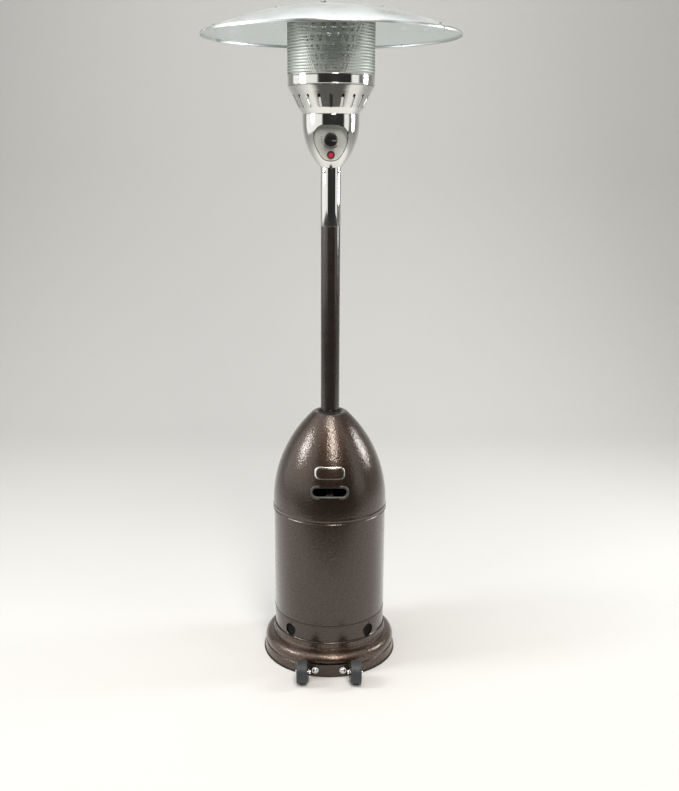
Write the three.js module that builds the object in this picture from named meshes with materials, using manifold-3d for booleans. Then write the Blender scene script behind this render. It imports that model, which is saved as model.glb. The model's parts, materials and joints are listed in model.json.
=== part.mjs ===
// A gas patio heater, in millimetres, +Z up. The origin is the centre of the base on the ground.
// A pressed base ring and three bar legs carry the post. The post carries the burner head and a
// three-panel reflector. A domed tank cover stands on the base and lifts up the post.
import * as THREE from "three";
import { mergeVertices } from "three/addons/utils/BufferGeometryUtils.js";
import Module from "manifold-3d";

const wasm = await Module();
wasm.setup();

// ---- driving dimensions -------------------------------------------------------------------

const GAP = 0.3; // between pieces that touch
const ROUND = 36; // facets around the large round pieces
const SHEET = 1.4; // pressed sheet steel

const BASE_R = 234.3; // outer edge of the base ring
const BASE_TOP_Z = 104; // where the base ring meets the collar
const FOOT_HEIGHT = 4.7;
const PLATE_Z = 5;
const PLATE_THICKNESS = 6;

const COLLAR_R = 195;
const COLLAR_TOP_Z = 170; // the tank cover stands here
const VENT_R = 22.5;
const VENT_Z = 130;
const VENT_TURN = 44; // degrees from straight ahead or straight back

const COVER_R = 195;
const LIP_R = 196.8; // the dome's lower lip, outside the cover's shell
const LIP_Z = 541;
const BEAD_Z = 557;
const DOME_START_Z = 566;
const DOME_TOP_Z = 889;
const DOME_SHOULDER_R = 58;

const SLOT_Z = 654;
const SLOT_LENGTH = 114;
const SLOT_HEIGHT = 29;
const TRIM_LENGTH = 129;
const TRIM_HEIGHT = 48;
const PLATE_LABEL_Z = 717;
const PLATE_LABEL_WIDTH = 101;
const PLATE_LABEL_HEIGHT = 40;

const POST_R = 31.75;
const POST_WALL = 2;
const SLEEVE_R = 33;
const SLEEVE_BOTTOM_Z = 1516;
const SOCKET_Z = 700;
const POST_TOP_Z = 1712;

const HOUSING_BOTTOM_Z = 1703;
const HOUSING_TOP_Z = 1867;
const HOUSING_BOTTOM_R = 34;
const HOUSING_TOP_R = 91.4;
const HOUSING_WIDEST_Z = 1845;

const PANEL_TILT = 12.5; // degrees, so that the controls face a little downwards
const PANEL_Y = -52;
const PANEL_Z = 1792;
const BUTTON_DROP = 50; // from the knob down the panel to the igniter button

const BOWL_TOP_Z = 1953;
const BAND_R = 139.5;
const BAND_TOP_Z = 1986;
const INTAKE_SLOTS = 20;
const SCREEN_R = 138;
const SCREEN_TOP_Z = 2158;

const RIM_R = 410;
const RIM_Z = 2106;
const REFLECTOR_RISE = 87;
const SEAM_TURN = 205; // degrees from +X to the first reflector seam
const BOLT_TURN = 256; // degrees from +X to the first reflector bolt
const BOLT_CIRCLE_R = 100;

const WHEEL_R = 39.3;
const WHEEL_Y = -272;
const WHEEL_Z = 40.5;
const WHEEL_INNER_X = 74;
const WHEEL_OUTER_X = 110;
const BRACKET_BOLT_X = 48;
const BRACKET_BOLT_Z = 27;
const AXLE_R = 4;

const LEG_R = 170; // the legs' centre line, outside a 310 mm gas bottle
const LEG_WIDTH = 24;
const LEG_THICKNESS = 4;
const LEG_TURNS = [270, 0, 180]; // the back stays open, for the bottle

const PIPE_R = 5;
const REGULATOR_Z = 664;
const BRACKET_R = 237.3; // inside of the wheel bracket's plate


// ---- materials ----------------------------------------------------------------------------

const finish = (color, roughness, metalness) =>
  new THREE.MeshStandardMaterial({ color, roughness, metalness });
const HAMMERED_BRONZE = finish(0x3c2f29, 0.35, 0.6);
const POST_PAINT = finish(0x2b2521, 0.3, 0.4);
const STAINLESS = finish(0xc9cac6, 0.12, 1);
const ALUMINIUM = finish(0xc5cccd, 0.3, 1);
const PANEL_METAL = finish(0x9aa3a2, 0.35, 0.9);
const BLACK_PLASTIC = finish(0x161618, 0.45, 0);
const RED_PLASTIC = finish(0xc23a4c, 0.4, 0);
const WHEEL_PLASTIC = finish(0x32383a, 0.6, 0);
const RUBBER = finish(0x101010, 0.8, 0);
const ZINC = finish(0xd5d8d6, 0.25, 1);
const STEEL = finish(0x55585a, 0.5, 0.9);
const BRASS = finish(0xb79a55, 0.3, 1);
const CERAMIC = finish(0xe8e4da, 0.5, 0);

// ---- solids -------------------------------------------------------------------------------

const radians = THREE.MathUtils.degToRad;

// A closed three.js geometry as a manifold-3d solid, faces out.
function solid(geometry) {
  const bare = geometry.index ? geometry.toNonIndexed() : geometry.clone();
  bare.deleteAttribute("normal");
  bare.deleteAttribute("uv");
  const merged = mergeVertices(bare, 1e-3);
  const triVerts = new Uint32Array(merged.index.array);
  const vertProperties = merged.attributes.position.array;
  const made = new wasm.Manifold(new wasm.Mesh({ numProp: 3, vertProperties, triVerts }));
  if (made.volume() > 0) return made;
  for (let i = 0; i < triVerts.length; i += 3) {
    [triVerts[i + 1], triVerts[i + 2]] = [triVerts[i + 2], triVerts[i + 1]];
  }
  return new wasm.Manifold(new wasm.Mesh({ numProp: 3, vertProperties, triVerts }));
}

function geometryOf(made) {
  const mesh = made.getMesh();
  const positions = new Float32Array(mesh.numVert * 3);
  for (let i = 0; i < mesh.numVert; i++) {
    positions.set(mesh.vertProperties.subarray(i * mesh.numProp, i * mesh.numProp + 3), i * 3);
  }
  const geometry = new THREE.BufferGeometry();
  geometry.setAttribute("position", new THREE.BufferAttribute(positions, 3));
  geometry.setIndex(new THREE.BufferAttribute(new Uint32Array(mesh.triVerts), 1));
  geometry.computeVertexNormals();
  return geometry;
}

function part(name, made, material) {
  const mesh = new THREE.Mesh(geometryOf(made), material);
  mesh.name = name;
  return mesh;
}

// A [radius, height] outline turned about +Z. It starts and ends on the axis, or is closed here.
function turned(outline, segments = 24) {
  const loop = outline[0][0] > 0 ? [...outline, outline[0]] : outline;
  const points = loop.map(([r, z]) => new THREE.Vector2(r, z));
  return solid(new THREE.LatheGeometry(points, segments).rotateX(Math.PI / 2));
}

// A ring or, with an inner radius of 0, a disc.
function ring(outerR, innerR, bottomZ, topZ, segments = 24) {
  const outline = [[innerR, bottomZ], [outerR, bottomZ], [outerR, topZ], [innerR, topZ]];
  return turned(outline, segments);
}

function box(sizeX, sizeY, sizeZ, x = 0, y = 0, z = 0) {
  return solid(new THREE.BoxGeometry(sizeX, sizeY, sizeZ).translate(x, y, z));
}

function extruded(shape, bottomZ, topZ, curveSegments = 6) {
  const settings = { depth: topZ - bottomZ, bevelEnabled: false, curveSegments };
  return solid(new THREE.ExtrudeGeometry(shape, settings).translate(0, 0, bottomZ));
}

// A round bar or tube along a list of points, smoothed.
function bar(points, radius, sides, steps) {
  const section = new THREE.Shape().absarc(0, 0, radius, 0, 2 * Math.PI);
  const extrudePath = new THREE.CatmullRomCurve3(points.map((p) => new THREE.Vector3(...p)));
  const settings = { steps, extrudePath, bevelEnabled: false, curveSegments: sides / 2 };
  return solid(new THREE.ExtrudeGeometry(section, settings));
}

// The same outline moved inwards by a sheet's thickness, run back the other way.
function sheetOf(outline, thickness = SHEET) {
  const inner = outline.map(([r, z], i) => {
    const [r0, z0] = outline[Math.max(i - 1, 0)];
    const [r1, z1] = outline[Math.min(i + 1, outline.length - 1)];
    const length = Math.hypot(r1 - r0, z1 - z0);
    return [r - (thickness * (z1 - z0)) / length, z + (thickness * (r1 - r0)) / length];
  });
  return [...outline, ...inner.reverse()];
}

// Points on an arc that is upright at [widestR, widestZ] and also passes through [r, z].
function ogive(widestR, widestZ, r, z, steps) {
  const drop = widestR - r;
  const rise = z - widestZ;
  const arcR = (drop * drop + rise * rise) / (2 * drop);
  return Array.from({ length: steps + 1 }, (_, i) => {
    const height = (rise * i) / steps;
    return [widestR - arcR + Math.sqrt(arcR * arcR - height * height), widestZ + height];
  });
}

function stadium(length, height) {
  const end = height / 2;
  const straight = length / 2 - end;
  const shape = new THREE.Shape();
  shape.moveTo(-straight, -end);
  shape.lineTo(straight, -end);
  shape.absarc(straight, 0, end, -Math.PI / 2, Math.PI / 2);
  shape.lineTo(-straight, end);
  shape.absarc(-straight, 0, end, Math.PI / 2, 1.5 * Math.PI);
  return shape;
}

const turnedTo = (degrees, made) => made.rotate([0, 0, degrees]);
const facingFront = (made) => made.rotate([90, 0, 0]); // a shape's +Z becomes -Y

function circlePoint(radius, degrees, z) {
  return [radius * Math.cos(radians(degrees)), radius * Math.sin(radians(degrees)), z];
}

// ---- base ---------------------------------------------------------------------------------

function baseParts() {
  const bulge = [0, 30, 60, 90].map((turn) => {
    const angle = radians(turn);
    return [204.5 + 26 * Math.cos(angle), 47.5 + 26 * Math.sin(angle)];
  });
  const skirt = [
    [BASE_R, PLATE_Z + GAP], [229, 42], ...bulge, [199.5, 77], [197.3, BASE_TOP_Z],
  ];
  const collar = [
    [COLLAR_R, 80], [COLLAR_R, COLLAR_TOP_Z - 0.9], [COLLAR_R - 2, COLLAR_TOP_Z],
    [COLLAR_R - 2, COLLAR_TOP_Z + 18],
  ];
  let collarSolid = turned(sheetOf(collar), ROUND);
  for (const turn of [90 - VENT_TURN, 90 + VENT_TURN, 270 - VENT_TURN, 270 + VENT_TURN]) {
    const vent = ring(VENT_R, 0, 150, 210, 20).rotate([0, 90, 0]).translate([0, 0, VENT_Z]);
    collarSolid = collarSolid.subtract(turnedTo(turn, vent));
  }
  let ringSolid = turned(sheetOf(skirt), ROUND);
  for (const side of [-1, 1]) {
    const hole = facingFront(ring(4.3, 0, 180, 260, 10));
    ringSolid = ringSolid.subtract(hole.translate([side * BRACKET_BOLT_X, 0, BRACKET_BOLT_Z]));
  }
  return [
    part("foot_ring", ring(BASE_R + 1.2, 226, 0, FOOT_HEIGHT, ROUND), RUBBER),
    part("base_plate", ring(229.5, 0, PLATE_Z, PLATE_Z + PLATE_THICKNESS, ROUND), STEEL),
    part("base_ring", ringSolid, HAMMERED_BRONZE),
    part("base_collar", collarSolid, HAMMERED_BRONZE),
    ...LEG_TURNS.map((turn, i) => part(`support_leg_${i + 1}`, supportLeg(turn), STEEL)),
    part("post_socket", postSocket(), STEEL),
  ];
}

// A flat bar from a foot on the base plate, up beside the bottle and in to the post socket.
function supportLeg(turn) {
  const half = LEG_THICKNESS / 2;
  const footZ = PLATE_Z + PLATE_THICKNESS + GAP;
  const tabZ = SOCKET_Z - GAP;
  const shape = new THREE.Shape();
  shape.moveTo(LEG_R - half, footZ);
  shape.lineTo(LEG_R + 34, footZ);
  shape.lineTo(LEG_R + 34, footZ + LEG_THICKNESS);
  shape.lineTo(LEG_R + half, footZ + LEG_THICKNESS);
  shape.lineTo(LEG_R + half, 556);
  shape.lineTo(68, tabZ);
  shape.lineTo(40, tabZ);
  shape.lineTo(40, tabZ - LEG_THICKNESS);
  shape.lineTo(65.5, tabZ - LEG_THICKNESS);
  shape.lineTo(LEG_R - half, 554);
  const upright = extruded(shape, -LEG_WIDTH / 2, LEG_WIDTH / 2).rotate([90, 0, 0]);
  return turnedTo(turn, upright);
}

function postSocket() {
  const flangeTop = SOCKET_Z + 5;
  return turned([
    [6, SOCKET_Z], [64, SOCKET_Z], [64, flangeTop], [POST_R + 4.5, flangeTop],
    [POST_R + 4.5, SOCKET_Z + 70], [POST_R + GAP, SOCKET_Z + 70],
    [POST_R + GAP, flangeTop], [6, flangeTop],
  ]);
}

// ---- wheels -------------------------------------------------------------------------------

function wheelParts() {
  const flangeX = WHEEL_INNER_X - 4;
  const top = 46;
  const reach = -WHEEL_Y;
  const wrap = ring(BRACKET_R + 2.5, BRACKET_R, 5, top, 2 * ROUND);
  let bracket = wrap.intersect(box(2 * flangeX + 2.5, 200, 100, 0, -BASE_R, 20));
  for (const side of [-1, 1]) {
    const flange = new THREE.Shape();
    flange.moveTo(221, 5);
    flange.lineTo(reach, 5);
    flange.absarc(reach, 25, 20, -Math.PI / 2, 0);
    flange.lineTo(reach + 20, WHEEL_Z);
    flange.absarc(reach, WHEEL_Z, 20, 0, Math.PI / 2);
    flange.lineTo(221, top);
    const upright = extruded(flange, -1.25, 1.25, 4).rotate([90, 0, -90]);
    const axleHole = ring(AXLE_R + GAP, 0, -5, 5, 12).rotate([0, 90, 0]);
    const boltHole = facingFront(ring(4.3, 0, 200, 260, 10));
    bracket = bracket
      .add(upright.translate([side * flangeX, 0, 0]))
      .subtract(axleHole.translate([side * flangeX, WHEEL_Y, WHEEL_Z]))
      .subtract(boltHole.translate([side * BRACKET_BOLT_X, 0, BRACKET_BOLT_Z]));
  }
  bracket = bracket.subtract(ring(BASE_R + 2, 0, -1, 80, 2 * ROUND));
  return [
    part("wheel_bracket", bracket, HAMMERED_BRONZE),
    ...[["left", -1], ["right", 1]].flatMap(([side, sign]) => [
      part(`wheel_${side}`, wheel(sign), WHEEL_PLASTIC),
      part(`wheel_axle_${side}`, axleBolt(sign), ZINC),
      part(`bracket_bolt_${side}`, bracketBolt(sign), ZINC),
    ]),
  ];
}

function wheel(sign) {
  const bore = AXLE_R + 0.1;
  const width = WHEEL_OUTER_X - WHEEL_INNER_X;
  const outline = [
    [bore, 1], [13, 1], [15, 5], [28, 5], [30, 0], [WHEEL_R - 3, 0], [WHEEL_R, 4],
    [WHEEL_R, width - 4], [WHEEL_R - 3, width], [bore, width],
  ];
  const turnedWheel = turned(outline, 24).rotate([0, 90 * sign, 0]);
  return turnedWheel.translate([sign * WHEEL_INNER_X, WHEEL_Y, WHEEL_Z]);
}

// A shoulder bolt: head outside the wheel, nut inside the flange.
function axleBolt(sign) {
  const flangeInside = WHEEL_INNER_X - 4 - 1.25;
  const headAt = WHEEL_OUTER_X + GAP;
  const bolt = turned([
    [0, flangeInside - 6], [7, flangeInside - 6], [7, flangeInside - GAP],
    [AXLE_R, flangeInside - GAP], [AXLE_R, headAt], [8, headAt], [8, headAt + 4], [0, headAt + 5],
  ], 12);
  return bolt.rotate([0, 90 * sign, 0]).translate([0, WHEEL_Y, WHEEL_Z]);
}

// Through the wheel bracket and the base ring, with a washer outside and a nut inside.
function bracketBolt(sign) {
  const x = sign * BRACKET_BOLT_X;
  const outside = Math.sqrt((BRACKET_R + 2.5) ** 2 - (Math.abs(x) - 12) ** 2) + GAP;
  const inside = Math.sqrt(225.5 ** 2 - (Math.abs(x) + 7) ** 2) - GAP;
  const bolt = turned([
    [0, inside - 6], [7, inside - 6], [7, inside], [4, inside], [4, outside], [12, outside],
    [12, outside + 1.6], [8.5, outside + 1.6], [7.5, outside + 6], [0, outside + 8],
  ], 12);
  return facingFront(bolt).translate([x, 0, BRACKET_BOLT_Z]);
}

// ---- post and gas supply ------------------------------------------------------------------

function postParts() {
  const postBottom = SOCKET_Z + 5 + GAP;
  return [
    part("lower_post", ring(POST_R, POST_R - POST_WALL, postBottom, POST_TOP_Z), POST_PAINT),
    part("post_sleeve",
      ring(SLEEVE_R, POST_R + GAP, SLEEVE_BOTTOM_Z, HOUSING_BOTTOM_Z - GAP), POST_PAINT),
    part("head_mount", headMount(), STEEL),
    part("gas_pipe", gasPipe(), STEEL),
    part("regulator", regulator(), ALUMINIUM),
    part("bottle_handwheel", handwheel(), BLACK_PLASTIC),
    part("tilt_switch", box(24, 16, 22, 0, 18, POST_TOP_Z + 14.6), BLACK_PLASTIC),
  ];
}

// A plug in the post's open top that carries the head.
function headMount() {
  const plugR = POST_R - POST_WALL - GAP;
  const flangeZ = POST_TOP_Z + GAP;
  return turned([
    [plugR - 2, POST_TOP_Z - 75], [plugR, POST_TOP_Z - 75], [plugR, flangeZ], [POST_R, flangeZ],
    [POST_R, flangeZ + 3], [7, flangeZ + 3], [7, flangeZ], [plugR - 2, flangeZ],
  ]);
}

// A rigid pipe from the valve down inside the post, through the socket to the regulator.
function gasPipe() {
  const route = [
    [0, -29.7, 1779.1], [0, -27.1, 1767.4], [0, -14, 1745], [0, -2, 1724], [0, 0, 1702],
    [0, 0, 1450], [0, 0, 1200], [0, 0, 950], [0, 0, REGULATOR_Z + 25],
  ];
  return bar(route, PIPE_R, 8, 30);
}

function regulator() {
  const outline = [[0, -16], [22, -16], [31, -8], [31, 4], [24, 12], [8, 16], [6.5, 24.5], [0, 24.5]];
  const inlet = facingFront(ring(7, 0, 0, 46, 12)).translate([0, 0, -4]);
  return turned(outline, 20).add(turnedTo(180, inlet)).translate([0, 0, REGULATOR_Z]);
}

// The hand nut that joins the regulator to a gas bottle's valve.
function handwheel() {
  const outline = [[7.6, 38], [20, 38], [22, 42], [22, 56], [19, 60], [14, 60], [14, 50], [7.6, 50]];
  const nut = turnedTo(180, facingFront(turned(outline, 20)));
  return nut.translate([0, 0, REGULATOR_Z - 4]);
}

// ---- burner head --------------------------------------------------------------------------

const housingOutline = () =>
  ogive(HOUSING_TOP_R, HOUSING_WIDEST_Z, HOUSING_BOTTOM_R, HOUSING_BOTTOM_Z, 7)
    .reverse()
    .concat([[HOUSING_TOP_R, HOUSING_TOP_Z]]);

// The recess that holds the controls, as an outline in the panel's own plane.
function panelShape(grow) {
  const w = 1 + grow / 53;
  const h = 1 + grow / 58;
  const shape = new THREE.Shape();
  shape.moveTo(0, -66 * h);
  shape.quadraticCurveTo(20 * w, -66 * h, 29 * w, -54 * h);
  shape.quadraticCurveTo(50 * w, -24 * h, 53 * w, 2 * h);
  shape.bezierCurveTo(55 * w, 28 * h, 42 * w, 50 * h, 12 * w, 50 * h);
  shape.lineTo(-12 * w, 50 * h);
  shape.bezierCurveTo(-42 * w, 50 * h, -55 * w, 28 * h, -53 * w, 2 * h);
  shape.quadraticCurveTo(-50 * w, -24 * h, -29 * w, -54 * h);
  shape.quadraticCurveTo(-20 * w, -66 * h, 0, -66 * h);
  return shape;
}

// Puts a solid made in the panel's frame (x right, y up the panel, z outwards) in its place.
const onPanel = (made) =>
  made.rotate([90 + PANEL_TILT, 0, 0]).translate([0, PANEL_Y, PANEL_Z]);

function headParts() {
  const opening = onPanel(extruded(panelShape(0), 0, 70, 4));
  const housing = turned(sheetOf(housingOutline()), ROUND).subtract(opening);
  return [
    part("control_housing", housing, STAINLESS),
    ...controlParts(),
    ...burnerParts(),
  ];
}

// Everything inside the control housing's sheet.
function insideHousing() {
  const wall = housingOutline().map(([r, z]) => [r - SHEET - 0.6, z]);
  return turned([[0, HOUSING_BOTTOM_Z], ...wall, [0, HOUSING_TOP_Z]], ROUND);
}

function controlParts() {
  const drop = (made) => made.translate([0, -BUTTON_DROP, 0]);
  const tub = extruded(panelShape(1.2), -2, 50, 4).subtract(extruded(panelShape(0), 0, 51, 4));
  const stemHole = ring(4.6, 0, -10, 10, 12);
  const buttonHole = drop(ring(9.3, 0, -10, 10, 16));
  const panel = onPanel(tub.subtract(stemHole).subtract(buttonHole)).intersect(insideHousing());
  const valve = box(40, 34, 30, 0, 0, -19.3).subtract(ring(4.6, 0, -8, 0, 12));
  const stem = ring(4, 0, -4, 19, 12).add(ring(6, 0, 6, 9, 12));
  const knob = turned([
    [4.4, 9.3], [6.4, 9.3], [6.4, 3.4], [19.5, 3.4], [21, 6], [20, 21], [18, 23], [4.4, 23],
  ], 20);
  const grip = box(8, 38, 4, 0, 0, 24.8);
  const igniter = drop(ring(9, 0, -16, -0.3, 12).subtract(ring(3.5, 0, -6, 1, 12)));
  const bezel = drop(ring(12.6, 8.2, GAP, 5, 20));
  const button = drop(ring(7.9, 0, 5.2, 9, 20).add(ring(3, 0, 0, 6, 12)));
  return [
    part("control_panel", panel, PANEL_METAL),
    part("gas_valve", onPanel(valve), ALUMINIUM),
    part("valve_stem", onPanel(stem), BRASS),
    part("control_knob", onPanel(knob.add(grip)), BLACK_PLASTIC),
    part("igniter_body", onPanel(igniter), BLACK_PLASTIC),
    part("igniter_bezel", onPanel(bezel), BLACK_PLASTIC),
    part("igniter_button", onPanel(button), RED_PLASTIC),
  ];
}

// Heights in the burner chamber are measured from its pan.
const PAN_Z = BOWL_TOP_Z + 3 + GAP;
const PILOT_TURN = 300;
const PILOT_R = 66;

function burnerParts() {
  return [
    part("burner_bowl", burnerBowl(), STAINLESS),
    part("burner_band", burnerBand(), STAINLESS),
    part("burner_pan", burnerPan(), STEEL),
    part("outlet_pipe", outletPipe(), BRASS),
    part("venturi_tube", turned([
      [16, 1850], [18, 1850], [14, 1872], [14, PAN_Z + 16.7], [12, PAN_Z + 16.7], [12, 1872],
    ], 16), ALUMINIUM),
    part("main_burner", turned([
      [0, PAN_Z + 44.5], [44.5, PAN_Z + 37.6], [44.5, PAN_Z + 18.5], [12, PAN_Z + 18.5],
      [12, PAN_Z + 17], [46, PAN_Z + 17], [46, PAN_Z + 39], [0, PAN_Z + 46],
    ], 20), STAINLESS),
    part("flame_cone", turned(sheetOf([[46, PAN_Z + 39.5], [98, PAN_Z + 181]], 1.2)), STAINLESS),
    part("pilot_burner", standing(0, [
      [0, -30], [3.5, -30], [3.5, 18], [6.5, 20], [6.5, 32], [0, 32]]), BRASS),
    part("igniter_electrode", standing(12, [
      [0, -26], [3.5, -26], [3.5, 22], [1.2, 24], [1.2, 36], [0, 36]]), CERAMIC),
    part("thermocouple", standing(-12, [
      [0, -34], [3.5, -34], [3.5, 26], [1.8, 38], [0, 38]]), BRASS),
    part("emitter_screen", ring(SCREEN_R, SCREEN_R - 1.2, PAN_Z + 2, SCREEN_TOP_Z - GAP, ROUND),
      STAINLESS),
    part("emitter_cap", emitterCap(), STAINLESS),
  ];
}

function burnerBowl() {
  let bowl = turned(sheetOf([
    [HOUSING_TOP_R - 0.7, HOUSING_TOP_Z + GAP], [104, 1887], [128.5, 1934], [138.2, BOWL_TOP_Z - 0.7],
  ]), 40);
  const cutter = box(40, 7, 28).rotate([0, -60, 0]);
  for (let i = 0; i < INTAKE_SLOTS; i++) {
    const slot = cutter.translate([111.5, 0, 1901]);
    bowl = bowl.subtract(turnedTo(90 + (360 / INTAKE_SLOTS) * i, slot));
  }
  return bowl;
}

function burnerBand() {
  const bottom = BOWL_TOP_Z + GAP;
  const inner = BAND_R - 1.2;
  return turned([
    [126, bottom], [BAND_R, bottom], [BAND_R, BAND_TOP_Z], [inner, BAND_TOP_Z],
    [inner, bottom + 2.7], [126, bottom + 2.7],
  ], ROUND);
}

function burnerPan() {
  let pan = ring(136, 14.4, PAN_Z, PAN_Z + 1.5, ROUND);
  for (const offset of [-12, 0, 12]) {
    const hole = ring(3.9, 0, PAN_Z - 5, PAN_Z + 5, 8);
    pan = pan.subtract(hole.translate(circlePoint(PILOT_R, PILOT_TURN + offset, 0)));
  }
  return pan;
}

// A slim piece of the pilot group that stands through the pan.
function standing(offset, outline) {
  return turned(outline, 8).translate(circlePoint(PILOT_R, PILOT_TURN + offset, PAN_Z));
}

// From the top of the valve to the mouth of the venturi tube.
function outletPipe() {
  const route = [
    [0, -37.2, 1813.1], [0, -39, 1821], [0, -34, 1831], [0, -14, 1836], [0, -2, 1842],
    [0, 0, 1856],
  ];
  return bar(route, 4, 8, 10);
}

// ---- reflector ----------------------------------------------------------------------------

const reflectorZ = (r) => RIM_Z + REFLECTOR_RISE * (1 - (r / RIM_R) ** 2);

// A lid on the screen, with three threaded bosses that carry the reflector.
function emitterCap() {
  const lid = turned([
    [4.3, SCREEN_TOP_Z], [SCREEN_R + GAP, SCREEN_TOP_Z], [SCREEN_R + GAP, SCREEN_TOP_Z - 9],
    [BAND_R, SCREEN_TOP_Z - 9], [BAND_R, SCREEN_TOP_Z + 1.5], [4.3, SCREEN_TOP_Z + 1.5],
  ], ROUND);
  const bossTop = reflectorZ(BOLT_CIRCLE_R + 8) - SHEET - 1.4;
  return [0, 120, 240].reduce((made, turn) => {
    const boss = ring(8, 4.3, SCREEN_TOP_Z + 1, bossTop, 12);
    return made.add(boss.translate(circlePoint(BOLT_CIRCLE_R, BOLT_TURN + turn, 0)));
  }, lid);
}

// A full turn of the reflector's sheet, lowered for the strip that runs under the next panel.
function reflectorSheet(lowered) {
  const dome = [0.97, 0.8, 0.6, 0.4, 0.2, 0.03].map((share) => {
    const r = share * RIM_R;
    return [r, reflectorZ(r) - lowered];
  });
  const rim = RIM_R - lowered;
  return turned(sheetOf([[rim, RIM_Z - 4], [rim, RIM_Z + 2 - lowered], ...dome]), ROUND);
}

// A wedge of the circle between two angles, in degrees from +X.
function wedge(from, to) {
  const reach = RIM_R * 1.3;
  const shape = new THREE.Shape();
  shape.moveTo(0, 0);
  for (const turn of [from, (2 * from + to) / 3, (from + 2 * to) / 3, to]) {
    shape.lineTo(reach * Math.cos(radians(turn)), reach * Math.sin(radians(turn)));
  }
  return extruded(shape, RIM_Z - 50, RIM_Z + 150);
}

const SEAM_SCREW_RADII = [187, 388];
const LAP_STEP = SHEET + GAP;

function reflectorParts() {
  const top = reflectorSheet(0);
  const under = reflectorSheet(LAP_STEP);
  const step = reflectorSheet(LAP_STEP / 2);
  const screwHoles = [0, 120, 240].flatMap((turn) =>
    SEAM_SCREW_RADII.map((r) =>
      ring(2.5, 0, RIM_Z - 50, RIM_Z + 150, 8).translate(circlePoint(r, SEAM_TURN + turn, 0))));
  const boltHoles = [0, 120, 240].map((turn) =>
    ring(4.6, 0, RIM_Z - 50, RIM_Z + 150, 10)
      .translate(circlePoint(BOLT_CIRCLE_R, BOLT_TURN + turn, 0)));
  const panels = [0, 1, 2].map((i) => {
    const start = SEAM_TURN + 120 * i - 1.5;
    const end = start + 120;
    let panel = top.intersect(wedge(start + 0.1, end))
      .add(step.intersect(wedge(end - 0.4, end)))
      .add(under.intersect(wedge(end - 0.4, end + 3.5)));
    for (const hole of [...screwHoles, ...boltHoles]) panel = panel.subtract(hole);
    return part(`reflector_panel_${i + 1}`, panel, ALUMINIUM);
  });
  const bolts = [0, 1, 2].map((i) => {
    const at = circlePoint(BOLT_CIRCLE_R, BOLT_TURN + 120 * i, reflectorZ(BOLT_CIRCLE_R));
    return part(`reflector_bolt_${i + 1}`, wingBolt().translate(at), ZINC);
  });
  const screws = [0, 1, 2].flatMap((i) =>
    SEAM_SCREW_RADII.map((r, j) => {
      const at = circlePoint(r, SEAM_TURN + 120 * i, reflectorZ(r));
      return part(`seam_screw_${2 * i + j + 1}`, seamScrew().translate(at), ZINC);
    }));
  return [...panels, ...bolts, ...screws, part("centre_cap", centreCap(), ALUMINIUM)];
}

// A thumb bolt with a washer, its shank in a boss of the emitter cap.
function wingBolt() {
  const shank = turned([
    [0, -22], [4, -22], [4, 3], [10, 3], [10, 4.6], [6, 4.6], [6, 10], [0, 10],
  ], 12);
  return shank.add(box(24, 2.4, 9, 0, 0, 11));
}

// A small screw through both laps of a seam, with its nut below.
function seamScrew() {
  return turned([[0, -9], [4, -9], [4, -5.8], [2, -5.8], [2, 2.2], [4.5, 2.2], [3.5, 5.4], [0, 6]], 8);
}

// Covers the panels' meeting point, its shank in the emitter cap.
function centreCap() {
  const top = reflectorZ(30) + 1.2;
  return turned([
    [0, SCREEN_TOP_Z - 6], [4, SCREEN_TOP_Z - 6], [4, top], [30, top], [30, top + 1.5],
    [8, top + 5], [0, top + 5],
  ], 20);
}

// ---- tank cover ---------------------------------------------------------------------------

const domeArc = () =>
  ogive(COVER_R + 2, DOME_START_Z, DOME_SHOULDER_R + 1, DOME_TOP_Z - 3, 6);

function coverParts() {
  const shellTop = DOME_START_Z - 8;
  const shell = ring(COVER_R, COVER_R - SHEET, COLLAR_TOP_Z + GAP, shellTop, ROUND);
  const domeOutline = [
    [LIP_R, LIP_Z], [LIP_R, BEAD_Z - 6], [LIP_R + 2, BEAD_Z], [LIP_R, BEAD_Z + 6], ...domeArc(),
    [DOME_SHOULDER_R - 7, DOME_TOP_Z], [44, DOME_TOP_Z - 1.5], [37, DOME_TOP_Z - 7],
  ];
  const slot = stadium(SLOT_LENGTH + 6, SLOT_HEIGHT + 6);
  const slotCut = facingFront(extruded(slot, 120, 220, 3)).translate([0, 0, SLOT_Z]);
  const grommet = [
    [32.1, DOME_TOP_Z - 16], [35.2, DOME_TOP_Z - 16], [35.2, DOME_TOP_Z - 7.5],
    [38.5, DOME_TOP_Z - 4.5], [38.5, DOME_TOP_Z - 1.5], [36, DOME_TOP_Z], [32.1, DOME_TOP_Z],
  ];
  return [
    part("cover_shell", shell, HAMMERED_BRONZE),
    part("cover_dome", turned(sheetOf(domeOutline), ROUND).subtract(slotCut), HAMMERED_BRONZE),
    part("hand_slot_trim", slotTrim(), BLACK_PLASTIC),
    part("post_grommet", turned(grommet), RUBBER),
    part("name_plate", namePlate(), STAINLESS),
  ];
}

// The dome's outer radius at a height.
function domeRadius(z) {
  const arc = domeArc();
  const i = arc.findIndex(([, height]) => height >= z);
  const [[r0, z0], [r1, z1]] = [arc[i - 1], arc[i]];
  return r0 + ((r1 - r0) * (z - z0)) / (z1 - z0);
}

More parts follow.
